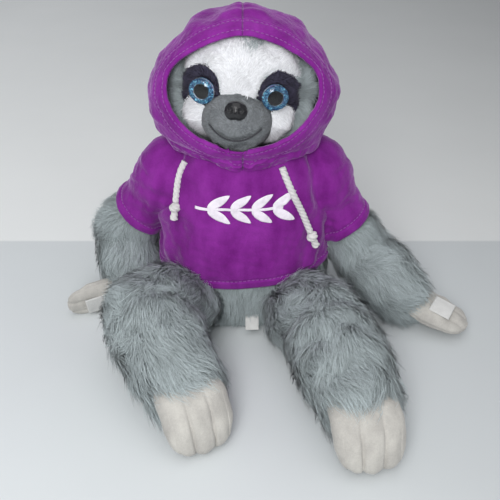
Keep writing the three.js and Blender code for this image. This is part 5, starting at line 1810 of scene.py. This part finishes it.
@dataclass
class Drawstring:
    """One braided drawstring with its knot and frayed end, in metres.

    Attributes:
        side: Which string it is.
        route: The middle of the string from the neck seam to the knot, in millimetres.
        plait: The length of one turn of the plait.
        gap: The gap between string and knot.
    """

    side: Side
    route: tuple
    radius: float = 2.9 * MM
    plait: float = 9 * MM
    knot_radius: float = 5 * MM
    tail_length: float = 9 * MM
    tail_radius: float = 3.7 * MM
    gap: float = 0.35 * MM

    def tube(self, path: Array, radii: Array) -> Skin:
        """Lofts a plaited tube round a path."""
        ways = unit(np.gradient(path, axis=0))
        across = unit(np.cross(ways, np.array([0.0, -1.0, 0.2])))
        lift = np.cross(across, ways)
        turns = around(40)
        phase = run_lengths(path)[:, None] * 2 * math.pi / self.plait
        strands = np.abs(np.cos(phase - turns * 1.5))
        reach = radii[:, None] * (0.74 + 0.36 * np.sqrt(strands))
        ring = np.cos(turns)[None, :, None] * across[:, None] + np.sin(turns)[None, :, None] * lift[:, None]
        return Skin(path[:, None] + reach[..., None] * ring)

    def knot_skin(self, middle: Array, way: Array) -> Skin:
        """Lofts the round knot that opens into the frayed tail."""
        r = self.knot_radius
        knot_run = np.linspace(-r * 0.98, r * 0.75, 60)
        run = np.concatenate([knot_run, np.linspace(r * 0.8, r * 0.5 + self.tail_length, 50)])
        ball = r * np.sqrt(np.clip(1 - (run / r) ** 2, 0.02, 1))
        share = ramp(run - r * 0.5, self.tail_length)
        neck = self.radius * 0.75
        tail = neck + (self.tail_radius - neck) * share**0.7
        radii = np.where(run < r * 0.75, np.maximum(ball, tail * (run > 0)), tail)
        skin = self.tube(middle + run[:, None] * way, radii)
        turns = around(skin.rows.shape[1])
        fray = np.abs(np.sin(turns * 7)) * np.clip(share * 1.6 - 0.6, 0, 1)[:, None] * 0.5 * MM
        wrap = np.sin(turns + run[:, None] * 500) * 0.35 * MM * (run < r * 0.7)[:, None]
        return skin.pushed(wrap - fray)

    def build(self) -> None:
        """Makes the string, its knot and its tail."""
        path = through(np.array(self.route) * MM, 150)
        name = self.side.value
        radii = np.full(len(path), self.radius)
        string = skin_piece("braided_string_" + name, self.tube(path, radii), COTTON)
        finish_piece(string, COTTON, "body", "drawstring_" + name)
        way = unit(path[-1] - path[-2])
        middle = path[-1] + way * (self.knot_radius + self.gap)
        knot = skin_piece("string_knot_" + name, self.knot_skin(middle, way), COTTON)
        finish_piece(knot, COTTON, "body", "knot_" + name)


@dataclass
class Label:
    """The folded, blank sewn-in label between the legs, in metres and degrees from level."""

    width: float = 13 * MM
    length: float = 16 * MM
    thickness: float = 0.8 * MM
    x: float = 8 * MM
    z: float = 20 * MM
    tilt: float = 35.0
    sag: float = 0.8 * MM

    def build(self) -> None:
        """Makes the folded tape."""
        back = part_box("label")[1][1]
        root = np.array([self.x, back - 0.3 * MM, self.z])
        a = math.radians(self.tilt)
        way = np.array([0, -math.cos(a), -math.sin(a)])
        lift = np.array([0, -math.sin(a), math.cos(a)])
        s, t = np.meshgrid(np.linspace(0, 1, 30), np.linspace(-0.5, 0.5, 24), indexing="ij")
        bow = self.sag * np.sin(math.pi * s) + 0.35 * MM * np.sin(t * 5)
        rows = root + (s * self.length)[..., None] * way + (t * self.width)[..., None] * RIGHT
        rows = rows + bow[..., None] * lift
        skin = Skin(rows, closed=False, capped=False, inside=root - lift)
        piece = thicken(skin_piece("blank_label", skin, TAPE), self.thickness)
        finish_piece(piece, TAPE, "body", "label")


def turned(profile: Sequence[tuple[float, float]], place: Matrix, sides: int = 72) -> Skin:
    """Turns an outline round its axis and puts it in place.

    Args:
        profile: Radius and height of each point, in metres.
        place: The matrix that its axis, +Z, and its foot go by.
        sides: Points round it.

    Returns:
        Its closed skin.
    """
    turns = around(sides)
    outline = np.array(profile)
    radii, heights = np.maximum(outline[:, :1], TINY), outline[:, 1:]
    flat = np.stack(np.broadcast_arrays(radii * np.cos(turns), radii * np.sin(turns), heights), -1)
    return Skin(moved(flat, place))


def egg(halves: Sequence[float], tilts: Array, turns: Array) -> Array:
    """Points of an egg by their tilt from -Y and their turn round it."""
    a, b, c = halves
    x = a * np.sin(tilts) * np.cos(turns)
    return np.stack([x, -b * np.cos(tilts) + 0 * turns, c * np.sin(tilts) * np.sin(turns)], -1)


def grown_mask(mask: Array) -> Array:
    """Grows a mask by one point each way, round its columns."""
    wide = mask | np.roll(mask, 1, axis=1) | np.roll(mask, -1, axis=1)
    tall = wide.copy()
    tall[1:] |= wide[:-1]
    tall[:-1] |= wide[1:]
    return tall


def outline_distance(points: Array, outline: Array) -> Array:
    """How far flat points lie inside a closed outline, negative outside it."""
    run = np.roll(outline, -1, axis=0) - outline
    away = points[:, None] - outline
    share = np.clip((away * run).sum(-1) / (run * run).sum(-1), 0, 1)
    nearest = np.linalg.norm(away - share[..., None] * run, axis=-1).min(1)
    low, high, z = outline[:, 1], np.roll(outline[:, 1], -1), points[:, None, 1]
    crosses = (low > z) != (high > z)
    reach = outline[:, 0] + (z - low) * run[:, 0] / np.where(run[:, 1] == 0, 1e-12, run[:, 1])
    inside = (crosses & (points[:, None, 0] < reach)).sum(1) % 2 == 1
    return np.where(inside, nearest, -nearest)


@dataclass(frozen=True)
class EyeParts:
    """The sizes of one moulded eye, in metres: dome, glitter ring, pupil and the post behind it."""

    radius: float = 11 * MM
    pupil_radius: float = 6 * MM
    lens_rim: float = 1.1 * MM
    lens_height: float = 5.6 * MM
    gap: float = 0.35 * MM
    iris_thickness: float = 1.2 * MM
    pupil_thickness: float = 0.8 * MM
    post_radius: float = 2.4 * MM
    post_length: float = 13 * MM

    def build(self, place: Matrix, name: str) -> None:
        """Makes the glitter ring, the pupil and the clear dome."""
        iris_top = self.gap + self.iris_thickness
        low = iris_top + self.gap
        high = low + self.pupil_thickness
        r, p = self.radius, self.pupil_radius
        edge = r - self.gap
        hole = self.post_radius + self.gap
        iris = [(hole, self.gap), (edge, self.gap), (edge, iris_top - 0.2 * MM), (r - 0.8 * MM, iris_top)]
        iris += [(hole, iris_top), iris[0]]
        ring = replace(turned(iris, place), capped=False)
        pupil = [(0, -self.post_length), (self.post_radius, -self.post_length), (self.post_radius, low)]
        pupil += [(p - 0.1 * MM, low), (p, low + 0.1 * MM), (p, high - 0.15 * MM)]
        pupil += [(p - 0.15 * MM, high), (0, high)]
        recess, top = p + self.gap, high + self.gap
        dome = [(0, top), (recess - 0.2 * MM, top), (recess, top - 0.2 * MM)]
        dome += [(recess, low), (r - 0.2 * MM, low), (r, low + 0.2 * MM)]
        for bend in np.radians(np.linspace(0, 90, 26)):
            rise = (self.lens_height - self.lens_rim) * math.sin(bend)
            dome.append((r * math.cos(bend), low + self.lens_rim + rise))
        layers = (
            ("glitter_ring_", "iris_", ring, BLUE_GLITTER),
            ("black_pupil_", "pupil_", turned(pupil, place), PUPIL_BLACK),
            ("clear_dome_", "eye_lens_", turned(dome, place), CLEAR_PLASTIC),
        )
        for part, node, skin, finish in layers:
            piece = creased(skin_piece(part + name, skin, finish))
            finish_piece(piece, finish, "head_body", node + name)


@dataclass
class Head:
    """The stuffed head with its sewn face, eyes, nose and smile.

    Lengths are in metres in the head's own frame, and turns in degrees. The head and the muzzle are given by
    their middles and half sizes. A patch's corners are shares of the eye's radius, from the eye. The face's
    outline is round at a face_square of 2, and a backing's depth is measured from the head's form.
    """

    middle: Triple = (1 * MM, 4 * MM, 243.5 * MM)
    halves: Triple = (62 * MM, 60 * MM, 53 * MM)
    yaw: float = -5.0
    roll: float = 3.5
    pile_depth: float = 2.4 * MM
    coat_depth: float = 4 * MM
    face_half_width: float = 51 * MM
    face_half_height: float = 47 * MM
    face_z: float = 0.5 * MM
    face_square: float = 2.5
    chin_stretch: float = 1.08
    cheek_line_z: float = -3.5 * MM
    cheek_fullness: float = 1.3
    full_from_z: float = -8 * MM
    ruff: float = 7 * MM
    peak_x: float = 6 * MM
    patch_shares: tuple = (
        (-1.35, -1.2), (-1.3, 0.2), (-0.9, 1.2), (0.1, 1.7), (1.1, 1.25), (1.8, 0.7), (2.3, 0.3),
        (2.35, -0.6), (2.15, -1.95), (1.75, -1.65), (1.2, -1.1), (0.4, -1.15), (-0.5, -1.4),
    )
    muzzle_middle: Triple = (0.0, -46 * MM, -21.5 * MM)
    muzzle_halves: Triple = (30.5 * MM, 31 * MM, 27.5 * MM)
    eye_x: float = 29.7 * MM
    eye_z: float = 3 * MM
    eye_turn: float = 13.0
    eye_sink: float = 1.2 * MM
    eye: EyeParts = EyeParts()
    nose_z: float = -5 * MM
    nose_halves: Triple = (9.4 * MM, 8.4 * MM, 6.5 * MM)
    nose_back: float = 1.5 * MM
    nose_tilt: float = 0.45
    nostril_x: float = 3.8 * MM
    nostril_radius: float = 1.8 * MM
    mouth_half_width: float = 21 * MM
    mouth_top_z: float = -19.5 * MM
    mouth_sag: float = 8.5 * MM

    def __post_init__(self) -> None:
        """Places the head's frame."""
        yaw = Matrix.Rotation(math.radians(self.yaw), 4, "Z")
        roll = Matrix.Rotation(math.radians(self.roll), 4, "Y")
        self.place = Matrix.Translation(self.middle) @ (yaw @ roll)

    def fullness(self, z: Array) -> Array:
        """The power of the head's round: 2 at the brow, and more where the cheeks are stuffed full."""
        return 2 + self.cheek_fullness * ramp(self.full_from_z - z, 16 * MM)

    def front(self, x: Array, z: Array) -> Array:
        """Points on the front of the head, a little under its pile."""
        a, b, c = (half - self.pile_depth for half in self.halves)
        power = self.fullness(z)
        rest = np.clip(1 - np.abs(x / a) ** power - np.abs(z / c) ** power, 0, 1) ** (1 / power)
        return np.stack([x, -b * rest, z], -1)

    def in_muzzle(self, points: Array, grow: float = 0.0) -> Array:
        """Tells which points, in the head's frame, lie inside the muzzle."""
        out = (points - np.array(self.muzzle_middle)) / (np.array(self.muzzle_halves) + grow)
        return np.linalg.norm(out, axis=-1) < 1

    def patch_outline(self, side: int) -> Array:
        """The closed outline of one dark patch, as close X and Z points."""
        corners = np.array(self.patch_shares) * self.eye.radius
        corners = np.stack([side * (self.eye_x + corners[:, 0]), self.eye_z + corners[:, 1]], -1)
        before, after, far = (np.roll(corners, shift, axis=0) for shift in (1, -1, -2))
        t = np.linspace(0, 1, 12, endpoint=False)[:, None, None]
        curve = 0.5 * (
            2 * corners
            + (after - before) * t
            + (2 * before - 5 * corners + 4 * after - far) * t**2
            + (3 * corners - before - 3 * after + far) * t**3
        )
        return curve.transpose(1, 0, 2).reshape(-1, 2)

    def eye_place(self, side: int) -> Matrix:
        """The seat of an eye, with +Z the way that it looks."""
        x = side * self.eye_x
        a, b, c = self.halves
        depth = b * math.sqrt(1 - (x / a) ** 2 - (self.eye_z / c) ** 2)
        seat = Vector((x, self.eye_sink - depth, self.eye_z))
        turn = math.radians(self.eye_turn)
        looking = Vector((side * math.sin(turn), -math.cos(turn), 0))
        rotation = Vector((0, 0, 1)).rotation_difference(looking).to_matrix().to_4x4()
        return self.place @ Matrix.Translation(seat) @ rotation

    def tie(self, piece: Piece, finish: Finish, node: str, softness: float) -> None:
        """Ties a padded piece to the head."""
        finish_piece(piece, finish, "head_body", node)

    def face(self) -> None:
        """Sews the white and dark panels of the face."""
        shares = np.concatenate([np.linspace(0.02, 0.3, 12), np.linspace(0.32, 1.0, 100)])[:, None]
        turns = around(300)[None]
        p = self.face_square
        square = (np.abs(np.cos(turns)) ** p + np.abs(np.sin(turns)) ** p) ** (-1 / p)
        x = shares * square * self.face_half_width * np.cos(turns)
        z = shares * square * self.face_half_height * np.sin(turns) + self.face_z
        z = np.where(z < 0, z * self.chin_stretch, z)
        flat = np.stack([x, z], -1).reshape(-1, 2)
        outlines = [self.patch_outline(side.sign) for side in Side]
        left, right = (outline_distance(flat, outline).reshape(x.shape) for outline in outlines)
        nearest = np.minimum(np.abs(left), np.abs(right))
        groove = 1.4 * MM * bump(nearest, 2.0 * MM)
        groove = groove + 1.6 * MM * bump((1 - shares) * self.face_half_width, 2.5 * MM)
        local = self.front(x, z)
        soft = Ripple(24 * MM, 81).at(local) * 0.5 * MM
        puff = 1.0 + (soft - groove)[..., None] / np.linalg.norm(local, axis=-1, keepdims=True)
        rows = moved(local * puff, self.place)
        skin = Skin(rows, capped=False, inside=np.array(self.middle))
        seats = [np.array(self.eye_place(side.sign).translation) for side in Side]
        eyes = [np.linalg.norm(rows - seat, axis=-1) for seat in seats]
        clear = ramp(np.minimum(*eyes) - self.eye.radius, 0.8 * MM) * ~self.in_muzzle(local, -1.5 * MM)
        out = moved(np.stack([x, 0 * x, z - self.face_z], -1), self.place) - np.array(self.middle)
        comb = out + Ripple(30 * MM, 82).drift(rows) * 0.02
        dark_left, dark_right = left > 0, right > 0
        white, brow = ~(dark_left | dark_right), z > self.cheek_line_z
        panels = {
            "forehead_panel": (white & brow, WHITE_COAT, "forehead"),
            "cheek_panel_left": (white & ~brow & (x > 0), WHITE_COAT, "cheek_left"),
            "cheek_panel_right": (white & ~brow & (x <= 0), WHITE_COAT, "cheek_right"),
            "dark_patch_left": (dark_left, DARK_COAT, "eye_patch_left"),
            "dark_patch_right": (dark_right, DARK_COAT, "eye_patch_right"),
        }
        seen = ~self.in_muzzle(local)
        edge = 0.55 + 0.45 * ramp(nearest, 4 * MM)
        for name, (area, pile, node) in panels.items():
            piece = plush(name, skin, pile, comb, clear * area, edge, kept=grown_mask(area) & seen)
            self.tie(piece, pile.fibre, node, 0.7)

    def coat(self) -> None:
        """Grows the grey fur of the head that shows inside the hood."""
        turns = around(150)[None]
        tilts = np.radians(np.linspace(2, 178, 90))[:, None]
        halves = [half - self.coat_depth for half in self.halves]
        ways = egg(halves, tilts, turns)
        power = self.fullness(ways[..., 2])
        size = sum(np.abs(ways[..., k] / half) ** power for k, half in enumerate(halves)) ** (-1 / power)
        beside = np.abs(np.sin(tilts)) * np.clip(1.25 - np.sin(turns), 0, 1)
        local = ways * size[..., None]
        x, z = local[..., 0], local[..., 2] - self.face_z
        p = self.face_square
        out = (np.abs(x / self.face_half_width) ** p + np.abs(z / self.face_half_height) ** p) ** (1 / p)
        past = ramp(out - 1.0, 0.08)
        local = local + unit(ways) * (past * (beside**4 * self.ruff + 1.5 * MM))[..., None]
        peak = bump(x - self.peak_x, 13 * MM) * (z > 0)
        ring = ramp(out - 0.96 + 0.19 * peak, 0.04)
        front = np.where(local[..., 1:2] < 0, 1.0, 0.0)
        outward = np.stack([x, 0 * x, np.minimum(z, 0.3 * np.abs(z))], -1)
        comb = outward * 7 + np.array([0, -0.15, 0]) * front
        comb = comb * (1 - peak[..., None]) + peak[..., None] * np.array([0.1, -1.0, -0.5])
        comb = (comb + Ripple(26 * MM, 83).drift(local) * 0.25) @ np.array(self.place)[:3, :3].T
        up = ramp(local[..., 2], 40 * MM)
        seen = ramp(-13 * MM - 5 * MM * up - local[..., 1], 8 * MM)
        grow = 0.85 - 0.4 * up * (1 - peak)
        piece = plush("head_coat", Skin(moved(local, self.place)), RUFF, comb, ring * seen, grow)
        self.tie(piece, GREY_FUR, "head", 0.85)

    def mouth_z(self, x: Array) -> Array:
        """The height of the smile's line."""
        return self.mouth_top_z - self.mouth_sag * (1 - (x / self.mouth_half_width) ** 2)

    def muzzle(self) -> None:
        """Sews the muzzle with its short grey pile."""
        halves = [half - 1.0 * MM for half in self.muzzle_halves]
        offset = egg(halves, np.radians(np.linspace(1.5, 150, 90))[:, None], around(150)[None])
        local = offset + np.array(self.muzzle_middle)
        x, y, z = np.moveaxis(local, -1, 0)
        near = np.abs(z - self.mouth_z(x)) + np.clip(np.abs(x) - self.mouth_half_width, 0, 1) * 2
        front = y < self.muzzle_middle[1]
        crease = bump(near, 2.2 * MM) * front
        lip = bump(near - 6 * MM, 5 * MM) * front * (z > self.mouth_z(x))
        push = (0.9 * lip - 1.3 * crease) * MM + Ripple(20 * MM, 84).at(local) * 0.4 * MM
        rows = moved(local + unit(offset) * push[..., None], self.place)
        cover = 1 - 0.95 * bump(near, 2.0 * MM) * front
        comb = moved(offset * np.array([1.0, 0.2, 0.6]), self.place) - np.array(self.middle)
        comb = comb + Ripple(24 * MM, 85).drift(rows) * 0.01
        piece = plush("muzzle_pad", Skin(rows), MUZZLE_COAT, comb, cover)
        self.tie(piece, MUZZLE_PILE, "muzzle", 0.85)

    def smile(self) -> None:
        """Embroiders the smile."""
        x = self.mouth_half_width * np.linspace(-1, 1, 90)
        z = self.mouth_z(x)
        a, b, c = self.muzzle_halves
        my, mz = self.muzzle_middle[1:]
        rest = np.sqrt(1 - (x / a) ** 2 - ((z - mz) / c) ** 2)
        line = np.stack([x, my - (b + 0.2 * MM) * rest, z], -1)
        thread = StitchRow(length=3.2 * MM, pitch=2.1 * MM, radius=0.8 * MM)
        piece = thread.sew("smile_stitches", [moved(line, self.place)], DARK_THREAD)
        finish_piece(piece, DARK_THREAD, "head_body", "mouth_stitching")

    def nose(self) -> None:
        """Moulds the nose with its two nostrils and the notch under it."""
        my, mz = self.muzzle_middle[1:]
        b, c = self.muzzle_halves[1:]
        slope = math.sqrt(1 - ((self.nose_z - mz) / c) ** 2)
        seat = Vector((0, my - b * slope + self.nose_back, self.nose_z))
        look = Vector((0, -1, self.nose_tilt)).normalized()
        right = Vector(RIGHT)
        basis = Matrix((right, look.cross(right), look)).transposed().to_4x4()
        wide, high, deep = self.nose_halves
        turns = around(120)[None]
        bends = np.radians(np.linspace(0.5, 90, 60))[::-1][:, None]
        pinch = 1 - 0.15 * bump(np.angle(np.exp(1j * (turns + math.pi / 2))), 0.34)
        x = wide * np.cos(turns) * np.sin(bends) * pinch
        y = high * np.sin(turns) * np.sin(bends) * pinch
        z = deep * np.cos(bends) + 0 * turns
        for side in Side:
            away = np.hypot(x - side.sign * self.nostril_x, y - 0.4 * MM)
            z = z - 1.5 * MM * bump(away, self.nostril_radius) + 0.55 * MM * bump(away - 2.5 * MM, 0.7 * MM)
        low = np.stack([x[0], y[0], np.full_like(x[0], self.eye.gap)], -1)
        rows = np.concatenate([low[None] * np.array([0.3, 0.3, 1]), low[None], np.stack([x, y, z], -1)[1:]])
        place = self.place @ Matrix.Translation(seat) @ basis
        piece = skin_piece("black_nose", Skin(moved(rows, place)), BLACK_PLASTIC)
        finish_piece(piece, BLACK_PLASTIC, "head_body", "nose")

    def build(self) -> None:
        """Makes the head."""
        self.coat()
        self.face()
        self.muzzle()
        self.smile()
        self.nose()
        for side in Side:
            self.eye.build(self.eye_place(side.sign), side.value)
        for node in ("eye_washer_left", "eye_washer_right", "nose_washer"):
            materials = frame["nodes"][node].data.materials
            materials.clear()
            materials.append(WHITE_PLASTIC.material())


@dataclass
class Hood:
    """The hood: two halves sewn over the crown, with a stitched band round the face, in metres.

    Attributes:
        head: The head that wears it.
        form: The form of its cloth.
        seam_lap: How far its neck edge reaches down over the top.
        neck_shift: How far that edge is drawn forward.
        eye_z: The height of the middle that its shape is measured from.
        inset_share: How flat the opening runs at the chin, and top_inset_share at the top.
        low_bend_share: How long its lower sides are straight, and high_bend_share its upper ones.
        chin_rise_share: How far it rises beside the chin.
        band_line: How far from the rim the band's first row of stitches lies.
        inner_line: How far from the band's inner edge the second row lies.
    """

    head: Head
    form: Form = Form(
        bottom=185.6 * MM,
        height=117.4 * MM,
        half_width=86 * MM,
        half_depth=72 * MM,
        middle_y=5 * MM,
        rings=(
            (0, 0.7, 0.68), (0.035, 0.82, 0.84), (0.13, 0.9, 0.96), (0.32, 0.975, 1),
            (0.455, 1, 1), (0.57, 0.88, 0.96), (0.69, 0.755, 0.86), (0.81, 0.62, 0.7),
            (0.9, 0.47, 0.52), (0.955, 0.3, 0.34), (0.985, 0.17, 0.2), (1.0, 0.0, 0.0),
        ),
    )
    seam_lap: float = 6 * MM
    neck_shift: float = 4 * MM
    eye_z: float = 243 * MM
    opening_half_width: float = 64 * MM
    opening_top: float = 290 * MM
    opening_bottom: float = 203.5 * MM
    widest_z: float = 252 * MM
    inset_share: float = 0.62
    top_inset_share: float = 0.42
    low_bend_share: float = 0.62
    high_bend_share: float = 0.32
    chin_rise_share: float = 0.07
    band_width: float = 18 * MM
    band_rise: float = 1.5 * MM
    band_line: float = 4.5 * MM
    inner_line: float = 3 * MM
    cloth: float = 2.6 * MM
    flat: tuple[float, float] = (0.19, 0.14)

    def __post_init__(self) -> None:
        """Places the middle that the hood's shape is measured from."""
        self.middle = np.array([0.0, self.form.middle_y, self.eye_z])

    def inside(self, points: Array) -> Array:
        """Tells which points lie inside the hood's form."""
        share = self.form.share(points[..., 2])
        return (self.form.out(points) < 1) & (share < 1) & (share > -0.001)

    def cast(self, ways: Array) -> Array:
        """Finds where directions from the hood's middle meet its form."""
        near, far = np.zeros(ways.shape[:-1]), np.full(ways.shape[:-1], 0.2)
        for _ in range(26):
            mid = (near + far) / 2
            inside = self.inside(self.middle + ways * mid[..., None])
            near, far = np.where(inside, mid, near), np.where(inside, far, mid)
        return self.middle + ways * near[..., None]

    def rim_outline(self, count: int) -> Array:
        """X and Z points of the left half of the opening, from the chin up."""
        wide, top, low, side_z = self.opening_half_width, self.opening_top, self.opening_bottom, self.widest_z
        low_bend = side_z - (side_z - low) * self.low_bend_share
        chin = low + (side_z - low) * self.chin_rise_share
        high_bend = side_z + (top - side_z) * self.high_bend_share
        arcs = [
            [(0, low), (wide * self.inset_share, chin), (wide, low_bend), (wide, side_z)],
            [(wide, side_z), (wide, high_bend), (wide * self.top_inset_share, top), (0, top)],
        ]
        t = np.linspace(0, 1, 200)[:, None]
        shares = ((1 - t) ** 3, 3 * t * (1 - t) ** 2, 3 * t**2 * (1 - t), t**3)
        lower, upper = (sum(share * point for share, point in zip(shares, arc)) for arc in np.array(arcs))
        line = np.vstack([lower, upper[1:]])
        run = run_lengths(line)
        at = np.linspace(0, run[-1], count)
        return np.stack([np.interp(at, run, line[:, k]) for k in (0, 1)], -1)

    def half_rows(self, side: Side, columns: int = 170, rows: int = 130) -> tuple[Array, Array]:
        """Points of one half, from the rim to the neck seam, with their distance from the rim."""
        rim = self.rim_outline(columns)
        wide, deep = self.form.halves(rim[:, 1])
        rim_y = self.form.middle_y - deep * np.sqrt(np.clip(1 - (rim[:, 0] / wide) ** 2, 0, 1))
        first = unit(np.stack([side.sign * rim[:, 0], rim_y, rim[:, 1]], -1) - self.middle)
        turns = np.linspace(0, math.pi, columns)
        neck_wide, neck_deep = self.form.halves(np.array(self.form.bottom))
        neck_y = self.form.middle_y - neck_deep * np.cos(turns)
        neck = np.stack([side.sign * neck_wide * np.sin(turns), neck_y, 0 * turns + self.form.bottom], -1)
        last = unit(neck + np.array([0, 0, 0.4 * MM]) - self.middle)
        front_down = unit(np.array([0.0, -0.755, -0.656]))
        between = np.cos(turns)[:, None] * front_down + np.sin(turns)[:, None] * side.sign * RIGHT
        w = np.linspace(0, 1, 220)[:, None, None]
        paths = self.cast(unit((1 - w) ** 2 * first + 2 * w * (1 - w) * between + w**2 * last))
        steps = np.linalg.norm(np.diff(paths, axis=0), axis=-1)
        lengths = np.concatenate([np.zeros((1, columns)), np.cumsum(steps, axis=0)])
        total = lengths[-1]
        close = np.linspace(0, 26 * MM, 44)[:, None] * np.minimum(total / (44 * MM), 1)
        rest = close[-1] + np.linspace(0, 1, rows - 43)[1:, None] * (total - close[-1])
        places = np.concatenate([close, rest])
        points = np.empty((len(places), columns, 3))
        for j, k in np.ndindex(columns, 3):
            points[:, j, k] = np.interp(places[:, j], lengths[:, j], paths[:, j, k])
        return points, places

    def relief(self, points: Array, places: Array) -> Array:
        """How far the cloth stands out: its folds, the seam over the crown and the band with its stitches."""
        share = np.clip(self.form.share(points[..., 2]), 0, 1)
        folds = np.sin(2 * math.pi * 5 * share + points[..., 0] * 16) * (0.4 + 1.1 * share**3) * MM
        broad = Ripple(62 * MM, 91).at(points) * 1.6 * MM
        small = Ripple(24 * MM, 92).at(points * np.array([0.7, 0.7, 1.3])) * 0.8 * MM
        fine = Ripple(8 * MM, 93).at(points) * 0.18 * MM
        past_band = places - self.band_width
        off_band = ramp(past_band, 14 * MM, 0.15)
        seam = np.abs(points[..., 0])
        sewn = -0.9 * MM * bump(seam, 1.4 * MM) + 0.5 * MM * bump(seam - 6 * MM, 4 * MM)
        pucker = 0.7 * MM * np.sin(places * 2 * math.pi / (13 * MM)) * bump(seam, 14 * MM) * off_band
        band = self.band_rise / (1 + np.exp(past_band / (0.35 * MM)))
        grooves = bump(places - self.band_line, 1.1 * MM) + bump(past_band + self.inner_line, 1.1 * MM)
        roll = -1.6 * MM * bump(places, 1.6 * MM)
        return (folds + broad + small) * off_band + fine + sewn + pucker + band - 0.6 * MM * grooves + roll

    def half_skin(self, side: Side, grow: float = 0.0) -> tuple[Skin, Array]:
        """One half with its relief, and each point's distance from the rim."""
        points, places = self.half_rows(side)
        skin = Skin(points, closed=False, capped=False, inside=self.middle)
        pushed = skin.pushed(self.relief(points, places) + grow).rows
        pushed[..., 0] = np.where(np.abs(points[..., 0]) < TINY, side.sign * 0.05 * MM, pushed[..., 0])
        rows = self.under_chin(self.over_neck(pushed))
        low = np.clip(1 - (rows[..., 2] - self.form.bottom) / (6 * MM), 0, 1)
        rows[..., 2] -= self.seam_lap * low
        rows[..., 1] += low * (0.11 * (rows[..., 1] - self.form.middle_y) - self.neck_shift)
        return replace(skin, rows=rows), places

    def over_neck(self, rows: Array) -> Array:
        """Keeps the cloth from falling under the neck seam."""
        rows[..., 2] = np.maximum(rows[..., 2], self.form.bottom)
        return rows

    def under_chin(self, rows: Array) -> Array:
        """Presses the cloth down under the muzzle."""
        middle = np.array(self.head.muzzle_middle)
        local = moved(rows, self.head.place.inverted())
        away = local - middle
        a, b, c = (half + 1.2 * MM for half in self.head.muzzle_halves)
        rest = 1 - (away[..., 0] / a) ** 2 - (away[..., 1] / b) ** 2
        floor = -c * np.sqrt(np.clip(rest, 0, 1))
        hit = (rest > 0) & (away[..., 2] > floor) & (away[..., 2] < 12 * MM)
        local[..., 2] = np.where(hit, middle[2] + floor, local[..., 2])
        return self.over_neck(moved(local, self.head.place))

    def build(self) -> None:
        """Sews the halves and the band's stitches."""
        lines = []
        for side in Side:
            skin, _ = self.half_skin(side)
            piece = thicken(skin_piece("hood_half_" + side.value, skin, PURPLE_VELOUR), self.cloth)
            finish_piece(piece, PURPLE_VELOUR, "head_body", "hood_" + side.value)
            sewn, places = self.half_skin(side, STITCH_RISE)
            for place in (self.band_line, self.band_width - self.inner_line):
                lines.append(line_at(sewn.rows, places, place))
        finish_piece(StitchRow().sew("band_stitches", lines, PURPLE_THREAD), PURPLE_THREAD, "head_body")


STRING_ROUTES = {
    Side.LEFT: ((34, -46.7, 178), (38, -49.2, 168), (45, -51.4, 152), (53, -49.4, 134), (61.8, -49.4, 112)),
    Side.RIGHT: ((-52, -32.2, 176), (-56, -34.5, 168), (-59, -37, 158), (-61.7, -42.3, 140)),
}


def main() -> None:
    """Builds the sloth, piece by piece."""
    logging.basicConfig(level=logging.INFO, format="%(message)s")
    Camera().build()
    for side in Side:
        Drawstring(side, STRING_ROUTES[side]).build()
    Studio().build()
    body = Body()
    body.build()
    ChestSprig(body).build()
    Label().build()
    head = Head()
    head.build()
    Hood(head).build()
    Arm(body, Side.LEFT, palm_roll=8.0, hand_aim=(60.0, -13.0)).build()
    Arm(body, Side.RIGHT, palm_roll=102.0, hand_aim=(70.0, -7.0)).build()
    Leg(body, Side.LEFT, foot_out=9.0).build()
    Leg(body, Side.RIGHT, foot_out=-24.0).build()


if __name__ == "__main__":
    main()
